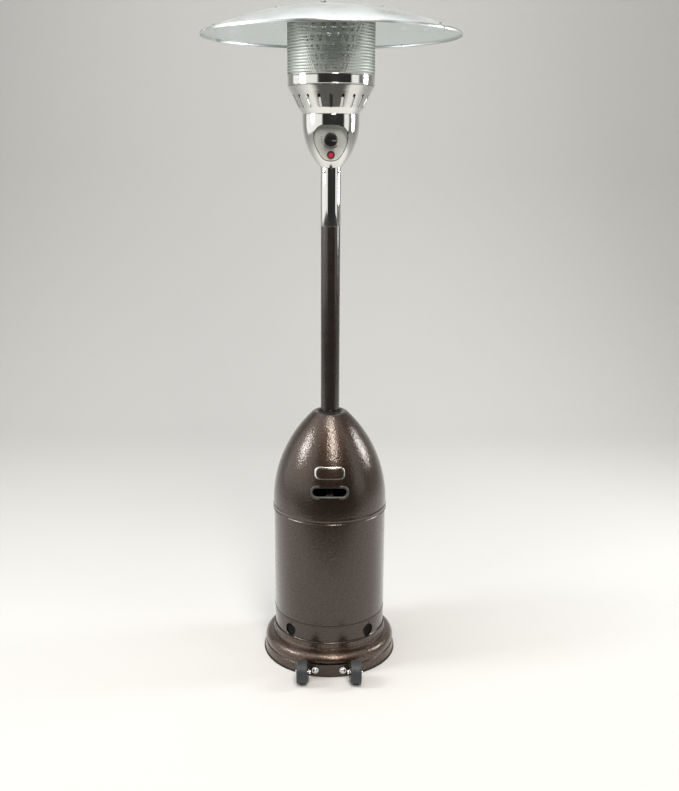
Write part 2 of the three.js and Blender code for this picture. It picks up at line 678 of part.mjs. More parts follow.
// A pressed frame in the hand slot: a wall through the dome and a flange around it outside.
function slotTrim() {
  const heights = [-26, -17, -8, 0, 8, 17, 26].map((offset) => SLOT_Z + offset);
  const shellBetween = (inside, outside) => turned([
    ...heights.map((z) => [domeRadius(z) + outside, z]),
    ...heights.toReversed().map((z) => [domeRadius(z) + inside, z]),
  ], ROUND);
  const r = domeRadius(SLOT_Z);
  const through = (length, height) =>
    facingFront(extruded(stadium(length, height), r - 32, r + 12, 3)).translate([0, 0, SLOT_Z]);
  const wall = through(SLOT_LENGTH + 5, SLOT_HEIGHT + 5).intersect(shellBetween(-9, 1));
  const flange = through(TRIM_LENGTH, TRIM_HEIGHT).intersect(shellBetween(GAP, 2.4));
  return wall.add(flange).subtract(through(SLOT_LENGTH, SLOT_HEIGHT));
}

// A plain plate bent to the dome, without lettering.
function namePlate() {
  const half = PLATE_LABEL_HEIGHT / 2;
  const bottom = PLATE_LABEL_Z - half;
  const top = PLATE_LABEL_Z + half;
  const low = domeRadius(bottom) + 1.8;
  const high = domeRadius(top) + 1.8;
  const skin = turned([[low, bottom], [low + 2, bottom], [high + 2, top], [high, top]], ROUND);
  const corner = 6;
  const side = PLATE_LABEL_WIDTH / 2;
  const shape = new THREE.Shape();
  shape.moveTo(corner - side, -half);
  shape.absarc(side - corner, corner - half, corner, -Math.PI / 2, 0);
  shape.absarc(side - corner, half - corner, corner, 0, Math.PI / 2);
  shape.absarc(corner - side, half - corner, corner, Math.PI / 2, Math.PI);
  shape.absarc(corner - side, corner - half, corner, Math.PI, 1.5 * Math.PI);
  const face = facingFront(extruded(shape, 100, 260, 2));
  return skin.intersect(face.translate([0, 0, PLATE_LABEL_Z]));
}

// ---- assembly -----------------------------------------------------------------------------

const heater = new THREE.Group();
heater.add(
  ...baseParts(), ...wheelParts(), ...postParts(), ...headParts(), ...reflectorParts(),
  ...coverParts(),
);

export default heater;
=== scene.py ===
"""A gas patio heater on a pale studio floor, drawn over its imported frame."""

import json
import math

import bmesh
import bpy
from bpy.props import FloatProperty, FloatVectorProperty, IntProperty, PointerProperty
from mathutils import Matrix, Vector


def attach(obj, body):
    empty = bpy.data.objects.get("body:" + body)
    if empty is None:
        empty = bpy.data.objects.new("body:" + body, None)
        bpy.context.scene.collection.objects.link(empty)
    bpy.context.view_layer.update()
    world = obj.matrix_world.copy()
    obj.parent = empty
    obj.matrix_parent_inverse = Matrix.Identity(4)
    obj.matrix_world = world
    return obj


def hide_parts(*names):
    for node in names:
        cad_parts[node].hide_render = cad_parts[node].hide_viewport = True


bl_info = {
    "name": "Patio Heater",
    "version": (1, 0, 0),
    "blender": (4, 5, 0),
    "location": "View3D > Sidebar > Heater",
    "description": "Builds a gas patio heater piece by piece over its frame",
    "category": "Object",
}

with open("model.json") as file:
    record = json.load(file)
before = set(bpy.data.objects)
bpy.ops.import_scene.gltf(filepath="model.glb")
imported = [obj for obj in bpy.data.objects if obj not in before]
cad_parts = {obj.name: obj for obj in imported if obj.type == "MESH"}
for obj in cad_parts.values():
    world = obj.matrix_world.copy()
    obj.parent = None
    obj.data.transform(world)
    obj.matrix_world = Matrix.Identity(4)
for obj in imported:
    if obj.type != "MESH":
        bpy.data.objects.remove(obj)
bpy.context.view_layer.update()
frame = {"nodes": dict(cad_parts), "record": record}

MM = 0.001  # metres in a millimetre
TURN = 2 * math.pi
SHEET = 1.4  # thickness of the pressed sheet
GAP = 0.3  # between pieces that touch
BOLT_HOLE_R = 4.4
NUT_R = 7
NUT_BORE_R = 4.02

# Heights and radii shared by several pieces, in millimetres above the ground and from the axis.
BASE_R = 234.3
BULGE_R = 26
BULGE_CENTRE = (204.5, 47.5)
COLLAR_R = 195
COLLAR_TOP = 170
LIP_R = 196.8
LIP_Z = 541
BEAD_Z = 557
DOME_START = 566
DOME_TOP = 889
DOME_SHOULDER_R = 58
SLOT_Z = 654
PLATE_Z = 717
POST_R = 31.75
SLEEVE_R = 33
SLEEVE_BOTTOM = 1516
SLEEVE_BOLT_Z = 1690
HOUSING_BOTTOM = 1703
HOUSING_BOTTOM_R = 34
HOUSING_WIDEST = 1845
HOUSING_TOP = 1867
HOUSING_SCREW_Z = 1857
HOUSING_R = 91.4
BOWL_TOP = 1953
BAND_TOP = 1986
BAND_SCREW_Z = 1974
BAND_R = 139.5
SCREEN_R = 138
SCREEN_TOP = 2158
PAN_Z = 1956.3
RIM_R = 410
RIM_Z = 2106
REFLECTOR_RISE = 87
SEAM_TURN = 205
SEAM_SCREWS = (187, 388)
BOLT_TURN = 256
BOLT_CIRCLE = 100
WHEEL_R = 39.3
WHEEL_Y = -272
WHEEL_Z = 40.5
WHEEL_INNER = 74
WHEEL_OUTER = 110
BRACKET_R = 237.3
BRACKET_SHEET = 2.5
BRACKET_BOLT = (48, 27)
FLANGE_X = WHEEL_INNER - 4
PANEL = Matrix.Translation((0, -52, 1792)) @ Matrix.Rotation(math.radians(102.5), 4, "X")
BUTTON_DROP = 50
VENT_TURNS = (46, 134, 226, 314)
VENT_Z = 130
VENT_R = 22.5


# ---- outlines -----------------------------------------------------------------------------


def rounded(points, closed=False, steps=4):
    """The outline with each corner that has a third number, its radius, replaced by an arc."""
    out = []
    last = len(points) - 1
    for i, point in enumerate(points):
        corner = Vector(point[:2])
        radius = point[2] if len(point) > 2 else 0
        if not radius or (not closed and i in (0, last)):
            out.append(tuple(corner))
            continue
        before = (Vector(points[i - 1][:2]) - corner).normalized()
        after = (Vector(points[(i + 1) % len(points)][:2]) - corner).normalized()
        half = before.angle(after) / 2
        reach = radius / math.tan(half)
        centre = corner + (before + after).normalized() * radius / math.sin(half)
        start = corner + before * reach - centre
        sweep = start.angle_signed(corner + after * reach - centre)
        for k in range(steps + 1):
            out.append(tuple(centre + Matrix.Rotation(-sweep * k / steps, 2) @ start))
    return out


def sheeted(outline, thickness=SHEET):
    """The outline and, run back, the same line moved to its left: a sheet's cross-section."""
    inner = []
    for i, (r, z) in enumerate(outline):
        r0, z0 = outline[max(i - 1, 0)]
        r1, z1 = outline[min(i + 1, len(outline) - 1)]
        length = math.hypot(r1 - r0, z1 - z0)
        inner.append((r - thickness * (z1 - z0) / length, z + thickness * (r1 - r0) / length))
    return outline + inner[::-1]


def ogive(widest, end, steps):
    """Points on an arc that is upright at widest and passes through end, both (r, z)."""
    drop = widest[0] - end[0]
    rise = end[1] - widest[1]
    arc = (drop * drop + rise * rise) / (2 * drop)
    heights = [rise * i / steps for i in range(steps + 1)]
    return [(widest[0] - arc + math.sqrt(arc * arc - h * h), widest[1] + h) for h in heights]


def stadium(length, height, steps):
    """A slot with round ends, around the origin."""
    end = height / 2
    straight = length / 2 - end
    out = []
    for side, start in ((1, -math.pi / 2), (-1, math.pi / 2)):
        for k in range(steps + 1):
            angle = start + math.pi * k / steps
            out.append((side * straight + end * math.cos(angle), end * math.sin(angle)))
    return out


def tube(inner, outer, low, high):
    """Half the section of a plain tube, or of a rod if inner is 0."""
    return [(inner, low), (outer, low), (outer, high), (inner, high)]


def divided(outline, longest):
    """The closed outline with its long sides split into short ones."""
    out = []
    for start, end in zip(outline, outline[1:] + outline[:1]):
        parts = max(1, math.ceil(math.dist(start, end) / longest))
        for k in range(parts):
            out.append(tuple(a + (b - a) * k / parts for a, b in zip(start, end)))
    return out


def bezier(p0, p1, p2, p3, steps):
    """Points on a cubic curve after p0, up to p3."""
    out = []
    for k in range(1, steps + 1):
        t = k / steps
        s = 1 - t
        weights = (s * s * s, 3 * s * s * t, 3 * s * t * t, t * t * t)
        pairs = list(zip(weights, (p0, p1, p2, p3)))
        out.append((sum(w * p[0] for w, p in pairs), sum(w * p[1] for w, p in pairs)))
    return out


def recess_outline(grow=0.0):
    """The opening that holds the controls, in the panel's own plane, x right and y up."""
    bottom, low, side, top = (0, -66), (29, -54), (53, 2), (12, 50)
    right = [bottom]
    right += bezier(bottom, (13, -66), (23, -62), low, 6)
    right += bezier(low, (43, -34), (51, -15), side, 8)
    right += bezier(side, (55, 28), (42, 50), top, 12)
    half_width, half_height = side[0], (top[1] - bottom[1]) / 2
    wide = 1 + grow / half_width
    tall = 1 + grow / half_height
    right = [(x * wide, y * tall) for x, y in right]
    left = [(-x, y) for x, y in right[:0:-1]]
    return right + left


def on_circle(radius, degrees, z=0.0):
    """The point at a radius and a turn from +X."""
    angle = math.radians(degrees)
    return Vector((radius * math.cos(angle), radius * math.sin(angle), z))


def reflector_z(r):
    """Height of the dish's upper face at a radius."""
    return RIM_Z + REFLECTOR_RISE * (1 - (r / RIM_R) ** 2)


# ---- meshes -------------------------------------------------------------------------------


def settings():
    """The heater's properties on the scene."""
    return bpy.context.scene.heater


def turned(outline, steps=None, bm=None, place=None):
    """An outline turned about +Z, added to bm if given.

    The outline closes on itself unless it starts on the axis.
    """
    new = bmesh.new()
    verts = [new.verts.new((r, 0, z)) for r, z in outline]
    ends = verts[1:] + (verts[:1] if outline[0][0] > 0 else [])
    edges = [new.edges.new(pair) for pair in zip(verts, ends)]
    bmesh.ops.spin(
        new,
        geom=verts + edges,
        cent=(0, 0, 0),
        axis=(0, 0, 1),
        angle=TURN,
        steps=steps or settings().facets,
        use_merge=True,
    )
    middle = [v for v in new.verts if math.hypot(v.co.x, v.co.y) < 1e-4]
    bmesh.ops.remove_doubles(new, verts=middle, dist=1e-3)
    if place is not None:
        moved(new, place)
    return joined(bm, new) if bm else new


def prism(outline, low, high, bm=None, place=None, bevel=0.0):
    """A flat outline in x and y made solid between two heights, added to bm if given."""
    new = bmesh.new()
    floor = [new.verts.new((x, y, low)) for x, y in outline]
    roof = [new.verts.new((x, y, high)) for x, y in outline]
    count = len(outline)
    ends = [new.faces.new(floor[::-1]), new.faces.new(roof)]
    for i in range(count):
        j = (i + 1) % count
        new.faces.new((floor[i], floor[j], roof[j], roof[i]))
    if bevel:
        bmesh.ops.bevel(
            new,
            geom=list(ends[0].edges) + list(ends[1].edges),
            offset=bevel,
            segments=2,
            profile=0.5,
            affect="EDGES",
            material=-1,
        )
    if place is not None:
        moved(new, place)
    return joined(bm, new) if bm else new


def joined(*parts):
    """Several meshes in one."""
    first = parts[0]
    for other in parts[1:]:
        mesh = bpy.data.meshes.new("joined")
        other.to_mesh(mesh)
        other.free()
        first.from_mesh(mesh)
        bpy.data.meshes.remove(mesh)
    return first


def moved(bm, matrix):
    """The mesh itself, carried by the matrix."""
    bmesh.ops.transform(bm, matrix=matrix, verts=bm.verts)
    return bm


def domed_head(radius, height, place, steps=20):
    """A round screw head with a slight dome."""
    dome = [
        (radius * math.cos(a), height * (0.25 + 0.75 * math.sin(a)))
        for a in (0, 0.35, 0.7, 1.05, 1.35)
    ]
    return turned([(0, 0), (radius, 0)] + dome + [(0, height)], steps, place=place)


def outwards(radius, degrees, z, tilt=0.0):
    """A place on a round wall, with +Z pointing out of it."""
    turn = Matrix.Rotation(math.radians(degrees), 4, "Z")
    lean = Matrix.Rotation(math.radians(90 - tilt), 4, "Y")
    return turn @ Matrix.Translation((radius, 0, z)) @ lean


def cut(bm, tools):
    """The mesh less everything inside the tools."""
    objects = []
    for label, part in (("blank", bm), ("tools", tools)):
        bmesh.ops.recalc_face_normals(part, faces=part.faces)
        mesh = bpy.data.meshes.new(label)
        part.to_mesh(mesh)
        part.free()
        obj = bpy.data.objects.new(label, mesh)
        bpy.context.scene.collection.objects.link(obj)
        objects.append(obj)
    blank, tool = objects
    modifier = blank.modifiers.new("cut", "BOOLEAN")
    modifier.operation = "DIFFERENCE"
    modifier.solver = "EXACT"
    modifier.object = tool
    graph = bpy.context.evaluated_depsgraph_get()
    out = bmesh.new()
    evaluated = blank.evaluated_get(graph)
    out.from_mesh(evaluated.to_mesh())
    evaluated.to_mesh_clear()
    for obj in objects:
        mesh = obj.data
        bpy.data.objects.remove(obj)
        bpy.data.meshes.remove(mesh)
    if not out.faces:
        raise RuntimeError("a cut left nothing")
    return out


def lofted(bm, rings, around=False):
    """Faces from each closed row of vertices to the next, and from the last to the first if around."""
    following = rings[1:] + (rings[:1] if around else [])
    for here, there in zip(rings, following):
        for k in range(len(here)):
            n = (k + 1) % len(here)
            bm.faces.new((here[k], here[n], there[n], there[k]))


def place_piece(name, bm, body, finish, stands_for=(), smooth=32, bevel=0.0):
    """Makes the mesh a piece of the object that rides on a body."""
    bmesh.ops.recalc_face_normals(bm, faces=bm.faces)
    bmesh.ops.scale(bm, vec=(MM, MM, MM), verts=bm.verts)
    mesh = bpy.data.meshes.new(name)
    bm.to_mesh(mesh)
    bm.free()
    mesh.materials.append(MATERIALS[finish])
    mesh.shade_smooth()
    mesh.set_sharp_from_angle(angle=math.radians(smooth))
    obj = bpy.data.objects.new(name, mesh)
    bpy.context.scene.collection.objects.link(obj)
    if bevel:
        edge = obj.modifiers.new("edge", "BEVEL")
        edge.width = bevel * MM
        edge.segments = 2
        edge.limit_method = "ANGLE"
        edge.angle_limit = math.radians(40)
        edge.harden_normals = False
    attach(obj, body)
    if stands_for:
        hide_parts(*stands_for)


# ---- materials ----------------------------------------------------------------------------

MATERIALS = {}
SLOT_OF = {
    "bronze": "hammered_bronze",
    "base_bronze": "hammered_bronze",
    "post": "post_paint",
    "mirror": "stainless",
    "screen": "stainless",
    "heat_steel": "stainless",
    "cone": "stainless",
    "reflector": "aluminium",
    "cast": "aluminium",
    "panel": "panel_metal",
    "black": "black_plastic",
    "trim": "black_plastic",
    "red": "red_plastic",
    "wheel": "wheel_plastic",
    "rubber": "rubber",
    "zinc": "zinc",
    "dull_zinc": "zinc",
    "steel": "steel",
    "brass": "brass",
    "ceramic": "ceramic",
    "mark": "black_plastic",
    "red_mark": "red_plastic",
}


class Shader:
    """A material's node tree with short calls for the nodes used here."""

    def __init__(self, name):
        self.material = bpy.data.materials.new(name)
        self.material.use_nodes = True
        self.tree = self.material.node_tree
        self.tree.nodes.clear()
        self.out = self.tree.nodes.new("ShaderNodeOutputMaterial")
        self.bsdf = self.tree.nodes.new("ShaderNodeBsdfPrincipled")
        self.link(self.bsdf.outputs["BSDF"], self.out.inputs["Surface"])
        self.coords = self.tree.nodes.new("ShaderNodeTexCoord").outputs["Object"]

    def link(self, source, target):
        self.tree.links.new(source, target)

    def put(self, socket, value):
        if isinstance(value, bpy.types.NodeSocket):
            self.link(value, socket)
        else:
            socket.default_value = value

    def set(self, **values):
        for name, value in values.items():
            self.put(self.bsdf.inputs[name.replace("_", " ")], value)

    def stretched(self, x, y, z):
        node = self.tree.nodes.new("ShaderNodeMapping")
        self.link(self.coords, node.inputs["Vector"])
        node.inputs["Scale"].default_value = (x, y, z)
        return node.outputs["Vector"]

    def noise(self, scale, detail=3.0, vector=None, distortion=0.0):
        node = self.tree.nodes.new("ShaderNodeTexNoise")
        self.link(vector or self.coords, node.inputs["Vector"])
        node.inputs["Scale"].default_value = scale
        node.inputs["Detail"].default_value = detail
        node.inputs["Distortion"].default_value = distortion
        return node.outputs["Fac"]

    def cells(self, scale, smoothness):
        node = self.tree.nodes.new("ShaderNodeTexVoronoi")
        node.feature = "SMOOTH_F1"
        self.link(self.coords, node.inputs["Vector"])
        node.inputs["Scale"].default_value = scale
        node.inputs["Smoothness"].default_value = smoothness
        return node.outputs["Distance"]

    def ranged(self, value, low, high, to_low=0.0, to_high=1.0):
        node = self.tree.nodes.new("ShaderNodeMapRange")
        self.link(value, node.inputs["Value"])
        for name, number in (
            ("From Min", low),
            ("From Max", high),
            ("To Min", to_low),
            ("To Max", to_high),
        ):
            node.inputs[name].default_value = number
        return node.outputs["Result"]

    def blend(self, factor, first, second):
        node = self.tree.nodes.new("ShaderNodeMix")
        node.data_type = "RGBA"
        self.put(node.inputs["Factor"], factor)
        self.put(node.inputs["A"], first)
        self.put(node.inputs["B"], second)
        return node.outputs["Result"]

    def times(self, first, second):
        node = self.tree.nodes.new("ShaderNodeMath")
        node.operation = "MULTIPLY"
        self.put(node.inputs[0], first)
        self.put(node.inputs[1], second)
        return node.outputs["Value"]

    def axis(self, name):
        node = self.tree.nodes.new("ShaderNodeSeparateXYZ")
        self.link(self.coords, node.inputs["Vector"])
        return node.outputs[name]

    def bump(self, height, strength, distance, base=None):
        node = self.tree.nodes.new("ShaderNodeBump")
        node.inputs["Strength"].default_value = strength
        node.inputs["Distance"].default_value = distance
        self.link(height, node.inputs["Height"])
        if base is not None:
            self.link(base, node.inputs["Normal"])
        return node.outputs["Normal"]


def rgba(colour, scale=1.0):
    """A colour made lighter or darker, with full alpha."""
    return (colour[0] * scale, colour[1] * scale, colour[2] * scale, 1.0)


def bronze_paint(heater, name, flake_amount, gloss_roughness):
    """Hammered metallic paint: round dimples with brighter rims, and a clear gloss."""
    s = Shader(name)
    dimples = s.cells(heater.hammer_scale, 0.75)
    fine = s.cells(heater.hammer_scale * 2.3, 0.5)
    rims = s.ranged(dimples, 0.25, 0.7)
    drift = s.noise(5.0, 2.0)
    body = s.blend(drift, rgba(heater.bronze, 0.88), rgba(heater.bronze, 1.12))
    flakes = s.blend(s.times(rims, flake_amount), body, rgba(heater.bronze_light))
    s.set(Base_Color=flakes, Metallic=0.85, Specular_IOR_Level=0.5)
    s.set(Roughness=s.ranged(fine, 0.0, 0.6, 0.3, 0.42), Coat_Weight=1.0, Coat_Roughness=gloss_roughness)
    first = s.bump(dimples, 0.3, 0.0011)
    both = s.bump(fine, 0.15, 0.0004, first)
    s.set(Normal=both, Coat_Normal=s.bump(dimples, 0.5, 0.0012))
    return s.material


def post_paint(heater):
    """Dark gloss paint with a little orange peel and dust."""
    s = Shader("post_gloss_paint")
    dust = s.noise(18.0, 4.0)
    s.set(Base_Color=s.blend(dust, rgba(heater.post, 0.8), rgba(heater.post, 1.3)))
    s.set(Roughness=s.ranged(s.noise(30.0), 0.3, 0.7, 0.22, 0.34), Metallic=0.0)
    s.set(Coat_Weight=0.5, Coat_Roughness=0.1, Normal=s.bump(s.noise(420.0, 2.0), 0.12, 0.0006))
    return s.material


def metal(name, colour, rough_low, rough_high, lines, tint=None, metallic=1.0):
    """Bare metal with faint lines around the axis, smudges and slow colour drift."""
    s = Shader(name)
    smudge = s.noise(9.0, 5.0, distortion=0.4)
    other = tint or tuple(c * 0.9 for c in colour)
    s.set(Base_Color=s.blend(s.ranged(s.noise(4.0, 2.0), 0.3, 0.7), rgba(colour), rgba(other)))
    s.set(Metallic=metallic, Roughness=s.ranged(smudge, 0.3, 0.7, rough_low, rough_high))
    turned_lines = s.noise(1.0, 2.0, s.stretched(6.0, 6.0, 1700.0))
    s.set(Normal=s.bump(turned_lines, lines, 0.0004))
    return s.material


def plastic(name, colour, rough, grain, wear):
    """Moulded plastic, rubber, print or glaze with a fine grain and patches worn to another tone."""
    s = Shader(name)
    patches = s.ranged(s.noise(14.0, 4.0), 0.45, 0.75)
    s.set(Base_Color=s.blend(patches, rgba(colour), rgba(colour, wear)))
    s.set(Roughness=s.ranged(s.noise(60.0), 0.3, 0.7, rough - 0.06, rough + 0.1))
    s.set(Normal=s.bump(s.noise(1600.0, 1.0), grain, 0.0003))
    return s.material


def make_materials(heater):
    MATERIALS["bronze"] = bronze_paint(heater, "hammered_bronze_paint", 0.12, 0.11)
    # A copy of the bronze with almost three times the bright flake and a rougher gloss, for the base ring:
    # the extra flake is a painted highlight on the bulge.
    MATERIALS["base_bronze"] = bronze_paint(heater, "coarse_bronze_paint_painted_highlight", 0.32, 0.18)
    MATERIALS["post"] = post_paint(heater)
    MATERIALS["mirror"] = metal("polished_stainless", heater.steel, 0.05, 0.12, 0.03)
    MATERIALS["screen"] = metal(
        "emitter_stainless", (0.5, 0.55, 0.51), 0.42, 0.56, 0.1, (0.44, 0.47, 0.42), 0.6
    )
    MATERIALS["heat_steel"] = metal(
        "heat_tinted_steel", (0.62, 0.6, 0.55), 0.25, 0.4, 0.1, (0.5, 0.44, 0.4)
    )
    MATERIALS["reflector"] = metal(
        "spun_aluminium", heater.reflector, 0.26, 0.36, 0.06, (0.7, 0.76, 0.75)
    )
    MATERIALS["cast"] = metal("cast_aluminium", (0.6, 0.61, 0.62), 0.45, 0.6, 0.15)
    # A pale, mostly diffuse recess panel: its light colour is a painted reflection of the chrome recess.
    MATERIALS["panel"] = metal("satin_panel_painted_reflection", (0.82, 0.85, 0.82), 0.2, 0.34, 0.12, None, 0.2)
    # Near-white and barely metallic so that the cone reads bright: painted light on a cone that the screen
    # shades.
    MATERIALS["cone"] = metal(
        "flame_cone_painted_light", (0.92, 0.94, 0.9), 0.4, 0.55, 0.1, (0.8, 0.82, 0.78), 0.1
    )
    MATERIALS["dull_zinc"] = metal("dull_zinc", (0.3, 0.31, 0.31), 0.35, 0.5, 0.1)
    MATERIALS["zinc"] = metal("bright_zinc", (0.86, 0.87, 0.86), 0.18, 0.3, 0.08)
    MATERIALS["steel"] = metal("plain_steel", (0.3, 0.31, 0.32), 0.4, 0.6, 0.2, (0.2, 0.19, 0.19))
    MATERIALS["brass"] = metal("brass", (0.72, 0.56, 0.28), 0.22, 0.35, 0.08)
    MATERIALS["black"] = plastic("black_plastic", (0.012, 0.012, 0.014), 0.38, 0.2, 1.8)
    MATERIALS["trim"] = plastic("slot_trim_plastic", (0.06, 0.064, 0.056), 0.3, 0.2, 1.3)
    MATERIALS["wheel"] = plastic("wheel_plastic", (0.028, 0.033, 0.036), 0.5, 0.4, 1.5)
    MATERIALS["rubber"] = plastic("black_rubber", (0.006, 0.006, 0.006), 0.75, 0.4, 1.6)
    MATERIALS["red"] = plastic("red_plastic", (0.6, 0.03, 0.06), 0.3, 0.1, 1.2)
    MATERIALS["red_mark"] = plastic("red_print", (0.42, 0.03, 0.07), 0.5, 0.1, 1.1)
    MATERIALS["mark"] = plastic("black_print", (0.02, 0.02, 0.02), 0.5, 0.1, 1.3)
    MATERIALS["ceramic"] = plastic("glazed_ceramic", (0.8, 0.77, 0.7), 0.2, 0.05, 0.92)


# ---- pieces -------------------------------------------------------------------------------


def base():
    foot_trim()
    base_ring()
    vent_band()
    seam_shade_rings()
    vents()
    skirt_rivets()


def foot_trim():
    inner = 226
    foot = [
        (inner, 0, 1),
        (BASE_R + 2.4, 0, 2),
        (BASE_R + 2, 6.6, 1.4),
        (BASE_R - 2, 7.4, 1),
        (inner, 4.7, 1),
    ]
    place_piece("foot_trim", turned(rounded(foot, True)), "frame", "rubber", ["foot_ring"])


def base_ring():
    """A flared skirt, a round bulge between two creases, and a neck round the collar."""
    bulge = []
    for degrees in range(-27, 91, 9):
        x, y = on_circle(BULGE_R, degrees).xy
        bulge.append((BULGE_CENTRE[0] + x, BULGE_CENTRE[1] + y))
    skirt = [(BASE_R, 5.3), (BASE_R - 0.6, 9, 3), (230.4, 32, 1.4), (225.6, 34.2, 0.8), bulge[0]]
    neck = [
        bulge[-1],
        (200, 73.4, 0.8),
        (201.4, 77.6, 2),
        (200.6, 82.5, 2.5),
        (197.6, 87, 4),
        (197.3, 104),
    ]
    line = rounded(skirt) + bulge[1:] + rounded(neck)[1:]
    ring = cut(turned(sheeted(line)), bracket_holes(170, 260))
    place_piece("base_ring_skin", ring, "frame", "base_bronze", ["base_ring"])


def vent_band():
    collar = rounded(
        [
            (COLLAR_R, 80),
            (COLLAR_R, 105),
            (COLLAR_R - 2.4, 107, 0.8),
            (COLLAR_R, 110.5, 2),
            (COLLAR_R, COLLAR_TOP - 0.9, 0.8),
            (COLLAR_R - 2, COLLAR_TOP, 0.5),
            (COLLAR_R - 2, 188),
        ]
    )
    holes = None
    for turn in VENT_TURNS:
        place = outwards(COLLAR_R, turn, VENT_Z)
        holes = turned(tube(0, VENT_R, -30, 30), 64, bm=holes, place=place)
    band = cut(turned(sheeted(collar)), holes)
    place_piece("vent_band", band, "frame", "bronze", ["base_collar"])


def seam_shade_rings():
    """Dark rubber rings in the seams above and below the vent band: painted shade in the seams."""
    upper = turned(tube(COLLAR_R - 1.2, COLLAR_R + 0.5, COLLAR_TOP - 1.6, COLLAR_TOP + 0.2))
    lower = turned([(195.1, 103.4), (197.6, 103.4), (197.2, 105.4), (195.1, 105.6)])
    place_piece("seam_shade_rings", joined(upper, lower), "frame", "rubber")


def vents():
    rims = bmesh.new()
    for turn in VENT_TURNS:
        vent_rim(turn, rims)
    place_piece("vent_rims", rims, "frame", "bronze")
    # The gauze takes the near-black rubber finish: painted shade inside the vent holes.
    place_piece("vent_gauze", vent_gauze(), "frame", "rubber")
    screws = []
    for turn in VENT_TURNS:
        screws.append(domed_head(3.6, 2.2, outwards(COLLAR_R - 0.2, turn + 1.5, VENT_Z + 29.5)))
    place_piece("vent_screws", joined(*screws), "frame", "black")


def skirt_rivets():
    """Two small dark heads on each side of the skirt, which leans inwards as it rises."""
    lean = 0.146
    dots = []
    for turn, z in ((236, 26), (241, 20), (299, 20), (304, 26)):
        radius = BASE_R - (z - 5.3) * lean
        dots.append(domed_head(2.6, 1.6, outwards(radius - 0.6, turn, z, 8)))
    place_piece("skirt_rivets", joined(*dots), "frame", "black")


def vent_gauze():
    """Crossed wires behind each vent hole."""
    reach, half, pitch = 24, 0.6, 5
    wire = [(-reach, -half), (reach, -half), (reach, half), (-reach, half)]
    bm = bmesh.new()
    for turn in VENT_TURNS:
        centre = outwards(COLLAR_R - 6, turn, VENT_Z)
        for k in range(-4, 5):
            for quarter in (0, 90):
                place = centre @ Matrix.Rotation(math.radians(quarter), 4, "Z")
                place = place @ Matrix.Translation((0, pitch * k, 0))
                prism(wire, -half, half, bm, place)
    return bm


def vent_rim(turn, bm):
    """Adds a rolled edge that follows a vent hole round the collar."""
    steps, sides = 64, 8
    rings = []
    for k in range(steps):
        a = TURN * k / steps
        row = []
        for step in range(sides):
            b = TURN * step / sides
            reach = VENT_R + 0.4 + 1.1 * math.cos(b)
            out = COLLAR_R - 0.1 + 1.3 * math.sin(b)
            angle = math.radians(turn) + reach * math.cos(a) / COLLAR_R
            z = VENT_Z + reach * math.sin(a)
            row.append(bm.verts.new((out * math.cos(angle), out * math.sin(angle), z)))
        rings.append(row)
    lofted(bm, rings, around=True)


def bracket_holes(near, far):
    """Rods where the two bracket bolts go through, between two distances in front of the axis."""
    holes = None
    for side in (-1, 1):
        place = Matrix.Translation((side * BRACKET_BOLT[0], 0, BRACKET_BOLT[1]))
        place = place @ Matrix.Rotation(math.radians(90), 4, "X")
        holes = turned(tube(0, BOLT_HOLE_R, near, far), 24, bm=holes, place=place)
    return holes


def wheels():
    for name, sign in (("left", -1), ("right", 1)):
        wheel(name, sign)
        wheel_axle(name, sign)
        bracket_bolt(name, sign)
    wheel_bracket()


def wheel(name, sign):
    """A moulded wheel with a grooved tread, and eight ribs between its hub and its rim."""
    width = WHEEL_OUTER - WHEEL_INNER
    shape = rounded(
        [
            (4.1, 0.6),
            (12, 0.6, 1),
            (14, 6, 2),
            (28, 6, 2),
            (30, 0, 1.5),
            (WHEEL_R - 2, 0, 2.5),
            (WHEEL_R, 5, 4),
            (WHEEL_R, width * 0.3, 1),
            (WHEEL_R - 0.9, width * 0.36, 1),
            (WHEEL_R - 0.9, width * 0.64, 1),
            (WHEEL_R, width * 0.7, 1),
            (WHEEL_R, width - 5, 4),
            (WHEEL_R - 2, width, 2.5),
            (30, width, 1.5),
            (28, width - 6, 2),
            (14, width - 6, 2),
            (12, width - 0.3, 1),
            (4.1, width - 0.3),
        ]
    )
    bm = turned(shape, 72)
    rib = [(12.5, -1.5), (29, -1.5), (29, 1.5), (12.5, 1.5)]
    ribs = 8
    for k in range(ribs):
        prism(rib, 3.4, width - 2.4, bm, Matrix.Rotation(TURN * k / ribs, 4, "Z"))
    turn = Matrix.Translation((sign * WHEEL_INNER, WHEEL_Y, WHEEL_Z))
    turn = turn @ Matrix.Rotation(math.radians(90 * sign), 4, "Y")
    place_piece(f"wheel_{name}_tyre", moved(bm, turn), f"wheel_{name}", "wheel", [f"wheel_{name}"])


def wheel_axle(name, sign):
    """The shoulder bolt that a wheel turns on, with its nut inside the flange."""
    flange = FLANGE_X - BRACKET_SHEET / 2
    end = flange - 6
    head = WHEEL_OUTER + GAP
    axle = turned(
        rounded(
            [(0, end), (4, end), (4, head), (8, head, 0.4), (8, head + 3, 1.5), (0, head + 4.4)]
        ),
        32,
    )
    nut = turned(tube(NUT_BORE_R, NUT_R, end, flange - GAP), 6)
    across = Matrix.Rotation(math.radians(90 * sign), 4, "Y")
    axle = moved(joined(axle, nut), Matrix.Translation((0, WHEEL_Y, WHEEL_Z)) @ across)
    place_piece(f"axle_{name}", axle, "frame", "zinc", [f"wheel_axle_{name}"], bevel=0.2)


